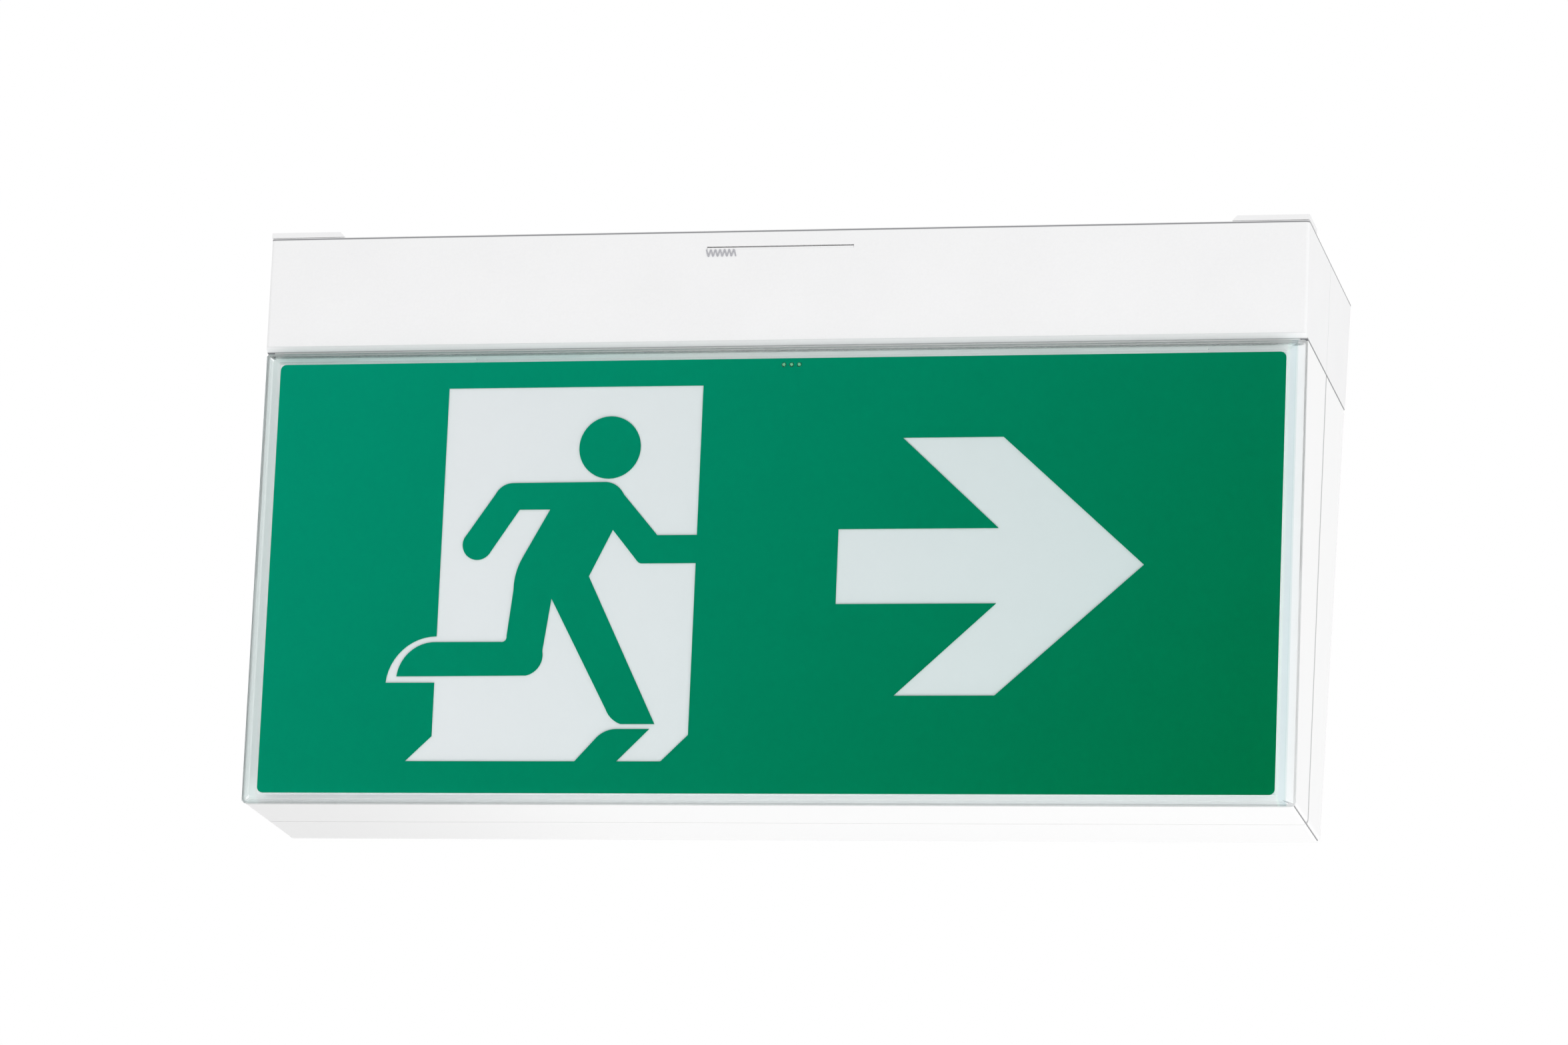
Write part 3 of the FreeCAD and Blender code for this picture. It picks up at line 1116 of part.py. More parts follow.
HEAD_CENTRE = (-55.6, 43.7)
HEAD_RADIUS = 10.65
ARROW_AXIS = 2.6
ARROW_TIP, ARROW_TAIL = 127.8, 24.3
ARROW_WING_OUT, ARROW_WING_IN, ARROW_NOTCH = 79.2, 45.1, 78.6
ARROW_HALF, ARROW_SHAFT = 43.4, 12.65


def arrow_outline(scale, centre):
    upper = [(ARROW_TAIL, ARROW_SHAFT), (ARROW_NOTCH, ARROW_SHAFT), (ARROW_WING_IN, ARROW_HALF),
             (ARROW_WING_OUT, ARROW_HALF), (ARROW_TIP, 0.0)]
    lower = [(x, -z) for x, z in reversed(upper[:-1])]
    points = [(x, ARROW_AXIS + z) for x, z in upper + lower]
    return outline(points[0], points[1:] + points[:1], scale, centre)


def make_legend():
    """Green legend film: door and arrow are cut out of it, and the head is a loose disc of it."""
    film = doc.addObject("Part::Feature", "legend_film")
    film.Label = "legend_film"
    thick = value("film_thick")
    half_width = value(LEGEND_HALF)
    top, low = value(LEGEND_TOP), value(LEGEND_LOW)
    front = value(FILM_FRONT)
    scale = (top - low) / LEGEND_DRAWN_HIGH
    centre = V(0, 0, (top + low) / 2)
    sheet_solid = Part.makeBox(2 * half_width, thick, top - low, V(-half_width, 0, low))
    corners = [edge for edge in sheet_solid.Edges if edge.BoundBox.YLength > thick / 2]
    sheet_solid = sheet_solid.makeFillet(value("legend_corner"), corners)
    back = V(0, thick, 0)
    for wire in (outline(DOOR_START, DOOR_STEPS, scale, centre), arrow_outline(scale, centre)):
        sheet_solid = sheet_solid.cut(Part.Face(wire).extrude(back))
    for x in PRONGS:
        hole = Part.makeCylinder(
            value("prong_radius + prong_play"), thick, V(value(x), 0, value(f"{LEGEND_TOP} - prong_drop")), V(0, 1, 0))
        sheet_solid = sheet_solid.cut(hole)
    head = Part.makeCylinder(
        HEAD_RADIUS * scale, thick, centre + V(HEAD_CENTRE[0], 0, HEAD_CENTRE[1]) * scale, V(0, 1, 0))
    solids = sheet_solid.Solids + head.Solids
    film.Shape = Part.makeCompound([solid.translated(V(0, front, 0)) for solid in solids])
    tilt_to_face(film)
    NODES.append(film)


# ---------------------------------------------------------------- build, check and write

make_mounting_plate()
make_grommet()
make_latch()
make_terminals()
make_hinge_pins()
make_hood()
make_tray()
make_driver()
make_battery()
make_lamps()
make_shell("front_shell", -1)
make_shell("rear_shell", 1)
make_cover("front_cover", -1)
make_cover("rear_cover", 1)
make_panels()
make_legend()
doc.recompute()

faults = []
for thing in doc.Objects:
    if "Invalid" in thing.State or "Error" in thing.State:
        faults.append(f"{thing.Label}: {thing.State}")
for node in NODES:
    shape = node.Shape
    if shape.isNull() or not shape.isValid() or not shape.Solids:
        faults.append(f"{node.Label}: no valid solid")
if faults:
    raise RuntimeError("; ".join(faults))

os.makedirs("parts", exist_ok=True)
for node in NODES:
    node.Shape.exportStep(f"parts/{node.Label}.step")
    box_now = node.Shape.BoundBox
    print(f"{node.Label}: {len(node.Shape.Solids)} solids, {node.Shape.Volume / 1000:.2f} cm3, "
          f"x {box_now.XMin:.1f}..{box_now.XMax:.1f}, y {box_now.YMin:.1f}..{box_now.YMax:.1f}, "
          f"z {box_now.ZMin:.1f}..{box_now.ZMax:.1f}")
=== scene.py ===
"""Dress the emergency exit light: materials, small fittings, studio floor, lamps and camera.

Every length is in metres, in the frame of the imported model: the ceiling is the plane Z = 0,
the legend faces -Y and the sign runs along X.
"""

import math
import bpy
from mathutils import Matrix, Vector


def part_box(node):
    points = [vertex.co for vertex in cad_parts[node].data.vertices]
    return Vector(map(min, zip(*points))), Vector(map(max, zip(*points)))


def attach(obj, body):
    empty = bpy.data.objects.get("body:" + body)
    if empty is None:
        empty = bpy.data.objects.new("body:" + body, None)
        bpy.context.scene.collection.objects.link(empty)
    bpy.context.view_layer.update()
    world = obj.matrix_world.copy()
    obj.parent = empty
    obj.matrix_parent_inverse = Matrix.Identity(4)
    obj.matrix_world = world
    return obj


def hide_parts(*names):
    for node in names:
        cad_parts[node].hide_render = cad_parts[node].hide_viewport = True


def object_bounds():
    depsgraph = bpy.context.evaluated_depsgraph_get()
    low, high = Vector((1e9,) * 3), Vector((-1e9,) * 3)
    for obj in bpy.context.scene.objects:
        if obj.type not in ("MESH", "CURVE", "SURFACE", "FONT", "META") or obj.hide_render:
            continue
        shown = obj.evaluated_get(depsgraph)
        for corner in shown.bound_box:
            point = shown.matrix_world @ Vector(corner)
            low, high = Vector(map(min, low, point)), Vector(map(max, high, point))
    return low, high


bl_info = {
    "name": "Exit Light Dressing",
    "version": (1, 0, 0),
    "blender": (4, 5, 0),
    "location": "3D View > Sidebar > Exit Light",
    "description": "Finishes a ceiling-hung emergency exit light and sets up its studio",
    "category": "Object",
}

import bmesh
import bpy
from bpy.props import FloatProperty, FloatVectorProperty, IntProperty, PointerProperty
from mathutils import Matrix, Vector

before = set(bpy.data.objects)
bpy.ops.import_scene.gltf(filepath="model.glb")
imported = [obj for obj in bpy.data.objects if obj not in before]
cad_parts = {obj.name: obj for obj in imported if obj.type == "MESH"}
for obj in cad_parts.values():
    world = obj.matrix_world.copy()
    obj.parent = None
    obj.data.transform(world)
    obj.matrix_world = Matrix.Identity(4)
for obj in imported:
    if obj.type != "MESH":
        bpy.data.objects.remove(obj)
CAD_LOW, CAD_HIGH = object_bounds()
HOOD_LOW, HOOD_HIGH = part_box("hood")
SHELL_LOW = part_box("rear_shell")[0]
FILM_LOW, FILM_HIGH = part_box("legend_film")
COVER_LOW, COVER_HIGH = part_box("front_cover")
SIGN_MIDDLE = (CAD_LOW + CAD_HIGH) / 2

# Painted shade in joints and gaps, dust and metal.
HAIRLINE = 0.0001         # half width of the finest line
SEAM_INSET = 0.00045      # from a moulding's edge to the line along it
NOWHERE = 1.0             # a height that no surface reaches, for a line that isn't drawn
END_FACING = 0.6          # X of a face's normal past which the face is one of the sign's ends
# Colour of the painted shade that falls in the joints and gaps between mouldings.
JOINT_SHADE = (0.045, 0.047, 0.06, 1)
DUST_GREY = (0.55, 0.54, 0.52, 1)
METAL_GRAIN = 0.0004      # size of the marks on bare metal

# The hood, its release slot, the lip in the slot and the ribs of the grip.
HOOD_HALF_DEPTH = (HOOD_HIGH.y - HOOD_LOW.y) / 2
BEVEL_RISE = 0.0016       # height of the bevel along the hood's lower edge
LOW_EDGE_BAND = 0.002     # height over the hood's lower edge in which its depth is read
SLOT_HALF_HEIGHT = 0.00055
LIP_TOP = SLOT_HALF_HEIGHT * 0.15
LIP_END_GAP = 0.0001
LIP_FRONT, LIP_BACK = 0.00008, 0.0014     # depths behind the hood's face
LIP_EASE = 0.00005
RIB_FRONT, RIB_BACK = -0.00022, 0.0004    # from proud of the hood's face to inside its wall
RIB_SHARE = 0.6           # a rib's width, as a share of the space from rib to rib
RIB_SLANT = 0.28          # how far a rib leans for its height
RIB_EASE = 0.00008

# Routes of the two leads inside, from end to end.
BATTERY_LEAD_RADIUS = 0.0016
BATTERY_ROUTE = (
    (-0.0524, 0.0074, -0.0303), (-0.0394, 0.0074, -0.0303), (-0.023, 0.0005, -0.0317),
    (-0.012, 0.0, -0.0317))
LAMP_LEAD_RADIUS = 0.0009
LAMP_ROUTE = (
    (-0.002, 0.018, -0.0317), (-0.024, 0.018, -0.0317), (-0.024, 0.0052, -0.0317),
    (-0.024, 0.0052, -0.035), (-0.024, 0.0052, -0.0395))

# The legend's colours drift from near to far between these X values and these Z values: painted
# shade, darker to the lower right.
DRIFT_ACROSS = (-0.17, 0.17)
DRIFT_DOWN = (-0.05, -0.19)
# The opal shells show this share of their white at the first X and all of it at the second.
SHELL_SHADE = (0.85, CAD_LOW.x, -0.03)

# Tints of the clear cover's border, from the legend's edge, 0, to the cover's rim, 1: partly the
# cover's own green tint, partly painted light and shade for its refraction streaks and glints.
# Those of the top border run from the cover's left end to its right end.
BORDER_LOW = ((0.0, (0.93, 0.97, 0.965)), (0.3, (0.93, 0.945, 0.95)), (1.0, (0.88, 0.90, 0.905)))
BORDER_TOP = (
    (0.0, (0.83, 0.95, 0.935)), (0.30, (0.84, 0.95, 0.935)), (0.45, (0.92, 0.965, 0.955)),
    (0.62, (0.93, 0.975, 0.97)), (0.80, (0.88, 0.935, 0.925)), (0.97, (0.90, 0.94, 0.935)),
    (1.0, (0.96, 0.97, 0.98)))
BORDER_LEFT = (
    (0.0, (0.95, 1.0, 0.99)), (0.12, (0.95, 1.0, 0.99)), (0.2, (0.93, 0.985, 0.98)),
    (0.9, (0.93, 0.985, 0.98)), (1.0, (0.88, 0.93, 0.93)))
BORDER_RIGHT = (
    (0.0, (0.92, 1.0, 0.965)), (0.15, (0.92, 1.0, 0.965)), (0.19, (0.84, 0.89, 0.91)),
    (0.47, (0.81, 0.885, 0.905)), (0.50, (0.72, 0.83, 0.82)), (0.54, (0.99, 0.99, 1.0)),
    (1.0, (1.0, 1.0, 1.0)))
# Shares of the border over which its tint takes over from the cover's.
TINT_START, TINT_END = 0.02, 0.14

# The studio. Each lamp has a name, a place, the side of its square, its watts and its colour.
LAMPS = (
    ("key_lamp", (-1.9, -2.4, 0.5), 1.9, 4.5, (1.0, 0.998, 0.995)),
    ("side_lamp", (2.4, -0.3, 0.8), 1.8, 6.4, (0.995, 0.998, 1.0)),
    ("low_lamp", (0.5, -0.55, -1.4), 1.4, 10.5, (1.0, 1.0, 1.0)),
)
WORLD_LIGHT = 0.86        # strength of the white world as light; where it shows, it is 1
FADE_START = 1.2          # the floor starts to fade at this many times its drop from its middle
FADE_END = 0.48           # and is white at this share of its span
CAMERA_PLACE = (0.5086, -1.9234, -0.6610)
CAMERA_TURN = (13.043, 15.191, 3.243)     # degrees round the vertical, up, and round the view
CAMERA_SHIFT = (-0.12, 0.06)


# ---------------------------------------------------------------- sizes and colours


class ExitLightSizes(bpy.types.PropertyGroup):
    """Sizes of the dressing pieces and of the studio."""

    grip_length: FloatProperty(
        name="Grip length", description="Length of the ribbed grip beside the release slot",
        default=0.0104, min=0.002, unit="LENGTH")
    grip_height: FloatProperty(
        name="Grip height", description="Height of the ribbed grip",
        default=0.0024, min=0.001, unit="LENGTH")
    grip_ribs: IntProperty(
        name="Grip ribs", description="Number of ribs on the grip", default=13, min=3)
    slot_half: FloatProperty(
        name="Half slot", description="Half the length of the release slot",
        default=0.0255, unit="LENGTH")
    slot_drop: FloatProperty(
        name="Slot drop", description="Hood's top edge to the middle of the slot",
        default=0.006, unit="LENGTH")
    floor_drop: FloatProperty(
        name="Floor drop", description="Ceiling to the studio floor", default=1.7, unit="LENGTH")
    floor_span: FloatProperty(
        name="Floor span", description="Side of the studio floor", default=14.0, unit="LENGTH")
    lens: FloatProperty(
        name="Lens", description="Focal length of the camera", default=139.9, unit="CAMERA")


class ExitLightColours(bpy.types.PropertyGroup):
    """Colours of the main finishes, as linear values."""

    hood_white: FloatVectorProperty(
        name="Hood white", description="Moulded hood and plate",
        subtype="COLOR", size=3, default=(0.88, 0.88, 0.885), min=0, max=1)
    shell_white: FloatVectorProperty(
        name="Shell white", description="Opal half shells",
        subtype="COLOR", size=3, default=(0.90, 0.90, 0.90), min=0, max=1)
    # The near and far colours of the legend and the panel differ by painted shade, darker to the
    # lower right.
    legend_green_lit: FloatVectorProperty(
        name="Legend green, left", description="Green ink at the left of the legend",
        subtype="COLOR", size=3, default=(0.0008, 0.290, 0.174), min=0, max=1)
    legend_green_shaded: FloatVectorProperty(
        name="Legend green, right", description="Green ink at the lower right of the legend",
        subtype="COLOR", size=3, default=(0.0004, 0.165, 0.059), min=0, max=1)
    panel_white_lit: FloatVectorProperty(
        name="Panel white, left", description="White panel that shows as the doorway",
        subtype="COLOR", size=3, default=(0.87, 0.865, 0.895), min=0, max=1)
    panel_white_shaded: FloatVectorProperty(
        name="Panel white, right", description="White panel that shows as the arrow",
        subtype="COLOR", size=3, default=(0.64, 0.725, 0.73), min=0, max=1)
    cover_tint: FloatVectorProperty(
        name="Cover tint", description="Faint tint of the clear cover over the legend",
        subtype="COLOR", size=3, default=(0.95, 0.962, 0.957), min=0, max=1)
    board_green: FloatVectorProperty(
        name="Board green", description="Solder mask of the driver board",
        subtype="COLOR", size=3, default=(0.012, 0.095, 0.040), min=0, max=1)


# ---------------------------------------------------------------- shader nodes

NUMBER, COLOUR = "NodeSocketFloat", "NodeSocketColor"


def feed(tree, node, inputs):
    """Give a node's inputs, by label or number, plain values or the outputs of other nodes."""
    for label, value in inputs.items():
        if isinstance(value, bpy.types.NodeSocket):
            tree.links.new(value, node.inputs[label])
        else:
            node.inputs[label].default_value = value


def add_node(tree, kind, place, inputs=None, **settings):
    """Add a shader node at a place in the editor, with its settings and inputs."""
    node = tree.nodes.new(kind)
    node.location = place
    for key, value in settings.items():
        setattr(node, key, value)
    feed(tree, node, inputs or {})
    return node


def add_math(tree, place, operation, *values):
    """A number worked out from numbers or the outputs of other nodes."""
    inputs = dict(enumerate(values))
    return add_node(tree, "ShaderNodeMath", place, inputs, operation=operation).outputs[0]


def add_range(tree, place, value, start, end, low=0.0, high=1.0, smooth=False):
    """A value taken from start..end to low..high, and held there beyond."""
    inputs = {"Value": value, "From Min": start, "From Max": end, "To Min": low, "To Max": high}
    kind = "SMOOTHSTEP" if smooth else "LINEAR"
    node = add_node(tree, "ShaderNodeMapRange", place, inputs, interpolation_type=kind)
    return node.outputs["Result"]


def add_noise(tree, place, vector, scale, detail=2.0, roughness=0.5):
    """The value of a noise, from 0 to 1."""
    inputs = {"Vector": vector, "Scale": scale, "Detail": detail, "Roughness": roughness}
    return add_node(tree, "ShaderNodeTexNoise", place, inputs).outputs["Fac"]


def add_mix(tree, place, factor, first, second):
    """A colour between two colours."""
    inputs = {"Factor": factor, "A": first, "B": second}
    return add_node(tree, "ShaderNodeMix", place, inputs, data_type="RGBA").outputs["Result"]


def scale_colour(tree, place, colour, amount):
    """A colour made darker or lighter by an amount that varies."""
    inputs = {0: colour, "Scale": amount}
    return add_node(tree, "ShaderNodeVectorMath", place, inputs, operation="SCALE").outputs[0]


def coordinates(tree, place):
    """The outputs of a Texture Coordinate node."""
    return add_node(tree, "ShaderNodeTexCoord", place).outputs


def split_axes(tree, place, vector):
    """The X, Y and Z of a vector."""
    return add_node(tree, "ShaderNodeSeparateXYZ", place, {0: vector}).outputs


# ---------------------------------------------------------------- shader node groups


def open_group(name, inputs, outputs):
    """Start a node group: an input has a label and a default, an output a label and a kind."""
    tree = bpy.data.node_groups.new(name, "ShaderNodeTree")
    for label, default in inputs.items():
        kind = COLOUR if isinstance(default, tuple) else NUMBER
        socket = tree.interface.new_socket(label, in_out="INPUT", socket_type=kind)
        socket.default_value = default
    for label, kind in outputs.items():
        tree.interface.new_socket(label, in_out="OUTPUT", socket_type=kind)
    entry = tree.nodes.new("NodeGroupInput")
    leave = tree.nodes.new("NodeGroupOutput")
    entry.location, leave.location = (-900, 0), (700, 0)
    return tree, entry.outputs, leave


def use_group(tree, group, place, inputs):
    """The outputs of a node group that is placed with its own values."""
    return add_node(tree, "ShaderNodeGroup", place, inputs, node_tree=group).outputs


def moulding_group():
    """Spark-eroded grain of moulded plastic: height for a bump, and a slight mottle."""
    name = "Moulding Grain"
    if name in bpy.data.node_groups:
        return bpy.data.node_groups[name]
    tree, given, leave = open_group(
        name,
        {"Colour": (0.8, 0.8, 0.8, 1), "Grain Size": 0.0006, "Mottle": 0.02, "Roughness": 0.5,
         "Roughness Spread": 0.06},
        {"Colour": COLOUR, "Height": NUMBER, "Roughness": NUMBER})
    place = coordinates(tree, (-900, -300))["Object"]
    scale = add_math(tree, (-700, 100), "DIVIDE", 1.0, given["Grain Size"])
    grain = add_noise(tree, (-500, 100), place, scale, detail=2.5)
    cloud = add_noise(tree, (-500, -200), place, 38.0, detail=3.0)
    both = add_math(tree, (-300, 0), "ADD", grain, cloud)
    around = add_math(tree, (-120, 0), "SUBTRACT", both, 1.0)
    amount = add_math(tree, (60, 100), "MULTIPLY_ADD", around, given["Mottle"], 1.0)
    shade = scale_colour(tree, (260, 200), given["Colour"], amount)
    rough = add_math(
        tree, (260, -150), "MULTIPLY_ADD", around, given["Roughness Spread"], given["Roughness"])
    feed(tree, leave, {"Colour": shade, "Height": grain, "Roughness": rough})
    return tree


def rub_group():
    """Where a surface collects dust and rub marks: soft patches and thin stray scratches."""
    name = "Handling Marks"
    if name in bpy.data.node_groups:
        return bpy.data.node_groups[name]
    tree, given, leave = open_group(name, {"Patch Size": 0.05, "Amount": 0.3}, {"Mask": NUMBER})
    place = coordinates(tree, (-900, -300))["Object"]
    scale = add_math(tree, (-700, 100), "DIVIDE", 1.0, given["Patch Size"])
    patch = add_noise(tree, (-500, 100), place, scale, detail=5.0, roughness=0.6)
    soft = add_range(tree, (-250, 100), patch, 0.48, 0.75)
    stretch = add_node(
        tree, "ShaderNodeMapping", (-700, -200),
        {"Vector": place, "Scale": (0.12, 1.0, 1.0), "Rotation": (0.0, 0.35, 0.2)})
    hair = add_noise(tree, (-500, -200), stretch.outputs["Vector"], 700.0, detail=1.0)
    thin = add_range(tree, (-250, -200), hair, 0.66, 0.72)
    marks = add_math(tree, (0, 0), "MAXIMUM", soft, thin)
    feed(tree, leave, {"Mask": add_math(tree, (200, 0), "MULTIPLY", marks, given["Amount"])})
    return tree


def seam_group():
    """Thin lines of painted shade where mouldings meet and in the gaps between them: two at
    heights and one at a depth.

    They show on the sign's ends where Ends is 1, and on its other faces where it is 0.
    """
    name = "Seam Shade"
    if name in bpy.data.node_groups:
        return bpy.data.node_groups[name]
    tree, given, leave = open_group(
        name,
        {"Height A": NOWHERE, "Width A": 0.0004, "Height B": NOWHERE, "Width B": 0.0004,
         "Depth": NOWHERE, "Depth Width": 0.0004, "Strength": 0.6, "Ends": 0.0},
        {"Mask": NUMBER})
    place = coordinates(tree, (-1100, 0))
    axes = split_axes(tree, (-900, 0), place["Object"])
    found = 0.0
    for number, (axis, label, width) in enumerate(
            (("Z", "Height A", "Width A"), ("Z", "Height B", "Width B"),
             ("Y", "Depth", "Depth Width"))):
        down = -180 * number
        away = add_math(tree, (-650, down), "SUBTRACT", axes[axis], given[label])
        near = add_math(tree, (-470, down), "ABSOLUTE", away)
        line = add_range(tree, (-290, down), near, 0.0, given[width], 1.0, 0.0, smooth=True)
        found = add_math(tree, (0, down), "MAXIMUM", found, line)
    normal = split_axes(tree, (-900, 300), place["Normal"])
    sideways = add_math(tree, (-650, 300), "ABSOLUTE", normal["X"])
    end = add_math(tree, (-470, 300), "GREATER_THAN", sideways, END_FACING)
    apart = add_math(tree, (-290, 300), "SUBTRACT", end, given["Ends"])
    other = add_math(tree, (-110, 300), "ABSOLUTE", apart)
    here = add_math(tree, (70, 300), "SUBTRACT", 1.0, other)
    drawn = add_math(tree, (250, 100), "MULTIPLY", found, here)
    feed(tree, leave, {"Mask": add_math(tree, (430, 0), "MULTIPLY", drawn, given["Strength"])})
    return tree


def drift_group():
    """How far a point lies towards the lower right of the sign, from 0 to 1."""
    name = "Sign Drift"
    if name in bpy.data.node_groups:
        return bpy.data.node_groups[name]
    tree, given, leave = open_group(name, {"Across": 0.72}, {"Share": NUMBER})
    axes = split_axes(tree, (-900, 0), coordinates(tree, (-1100, 0))["Object"])
    across = add_range(tree, (-650, 150), axes["X"], *DRIFT_ACROSS)
    down = add_range(tree, (-650, -150), axes["Z"], *DRIFT_DOWN)
    apart = add_math(tree, (-400, 0), "SUBTRACT", across, down)
    share = add_math(tree, (-150, 0), "MULTIPLY_ADD", apart, given["Across"], down)
    feed(tree, leave, {"Share": share})
    return tree


# ---------------------------------------------------------------- materials


def new_material(name):
    """A material, with its node tree and its Principled shader."""
    material = bpy.data.materials.new(name)
    material.use_nodes = True
    tree = material.node_tree
    shader = tree.nodes["Principled BSDF"]
    shader.location = (500, 0)
    tree.nodes["Material Output"].location = (900, 0)
    return material, tree, shader


def show_shader(tree, node):
    """Make this node the one that the material shows."""
    tree.links.new(node.outputs[0], tree.nodes["Material Output"].inputs["Surface"])


def end_shadow(tree, shade, share, start, end):
    """Scale a colour by share at X = start, rising to all of it at X = end."""
    axes = split_axes(tree, (-150, 500), coordinates(tree, (-300, 500))["Object"])
    amount = add_range(tree, (0, 500), axes["X"], start, end, low=share, smooth=True)
    return scale_colour(tree, (150, 450), shade, amount)


def moulded(name, colour, roughness, grain=0.0006, depth=0.00002, mottle=0.02,
            dust=0.0, subsurface=0.0, coat=0.0, seams=(), shadow=None):
    """Moulded plastic with a fine grain.

    Dust dulls it in patches, each of the seams paints thin shade into joints and gaps where shadow
    falls, and shadow, as (share, from X, to X), greys it towards one end as painted shade.
    """
    material, tree, shader = new_material(name)
    grit = use_group(tree, moulding_group(), (-300, 100), {
        "Colour": (*colour, 1), "Grain Size": grain, "Mottle": mottle, "Roughness": roughness,
        "Roughness Spread": 0.05})
    bump = add_node(
        tree, "ShaderNodeBump", (200, -250),
        {"Strength": 0.35, "Distance": depth, "Height": grit["Height"]})
    shade = grit["Colour"]
    if dust:
        marks = use_group(tree, rub_group(), (-300, -200), {"Patch Size": 0.06, "Amount": dust})
        shade = add_mix(tree, (50, 250), marks["Mask"], shade, DUST_GREY)
    if shadow:
        shade = end_shadow(tree, shade, *shadow)
    for number, lines in enumerate(seams):
        drawn = use_group(tree, seam_group(), (-300, -450 - 250 * number), lines)
        # Painted shade: darkens the thin joints and gaps where shadow falls.
        shade = add_mix(tree, (250, 250 + 200 * number), drawn["Mask"], shade, JOINT_SHADE)
    feed(tree, shader, {
        "Base Color": shade, "Roughness": grit["Roughness"], "Normal": bump.outputs["Normal"]})
    if subsurface:
        feed(tree, shader, {
            "Subsurface Weight": subsurface, "Subsurface Radius": (0.004, 0.004, 0.004)})
    if coat:
        feed(tree, shader, {"Coat Weight": coat, "Coat Roughness": 0.15})
    return material


def metal(name, colour, roughness, brushed=(1.0, 1.0, 1.0)):
    """Bare or plated metal with fine brushed or tumbled marks."""
    material, tree, shader = new_material(name)
    mapping = add_node(
        tree, "ShaderNodeMapping", (-700, 0),
        {"Vector": coordinates(tree, (-900, 0))["Object"], "Scale": brushed})
    marks = add_noise(tree, (-500, 0), mapping.outputs["Vector"], 1.0 / METAL_GRAIN, detail=3.0)
    dull = (*[channel * 0.85 for channel in colour], 1)
    feed(tree, shader, {
        "Base Color": add_mix(tree, (-200, 200), marks, dull, (*colour, 1)),
        "Roughness": add_range(
            tree, (-200, -100), marks, 0.0, 1.0, low=roughness * 0.7, high=roughness * 1.4),
        "Metallic": 1.0})
    return material


# ---------------------------------------------------------------- objects


def paint_node(name, material):
    """Give a CAD node this material in all of its slots."""
    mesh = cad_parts[name].data
    mesh.materials.clear()
    mesh.materials.append(material)


def add_object(name, data):
    """Link a new object to the scene."""
    thing = bpy.data.objects.new(name, data)
    bpy.context.scene.collection.objects.link(thing)
    return thing


def add_mesh(name, bm, material):
    """Finish a bmesh as an object with one material."""
    mesh = bpy.data.meshes.new(name)
    bm.to_mesh(mesh)
    bm.free()
    mesh.materials.append(material)
    return add_object(name, mesh)


def block(bm, low, high, ease):
    """Add a box between two corners to a bmesh, ease its edges and return its vertices."""
    before = set(bm.verts)
    low, high = Vector(low), Vector(high)
    made = bmesh.ops.create_cube(bm, size=1.0)
    size = Matrix.Diagonal((*(high - low), 1.0))
    bmesh.ops.transform(
        bm, verts=made["verts"], matrix=Matrix.Translation((low + high) / 2) @ size)
    edges = list({edge for vert in made["verts"] for edge in vert.link_edges})
    bmesh.ops.bevel(
        bm, geom=edges, offset=ease, segments=2, profile=0.5, affect="EDGES", material=-1)
    return [vert for vert in bm.verts if vert not in before]


# ---------------------------------------------------------------- operators


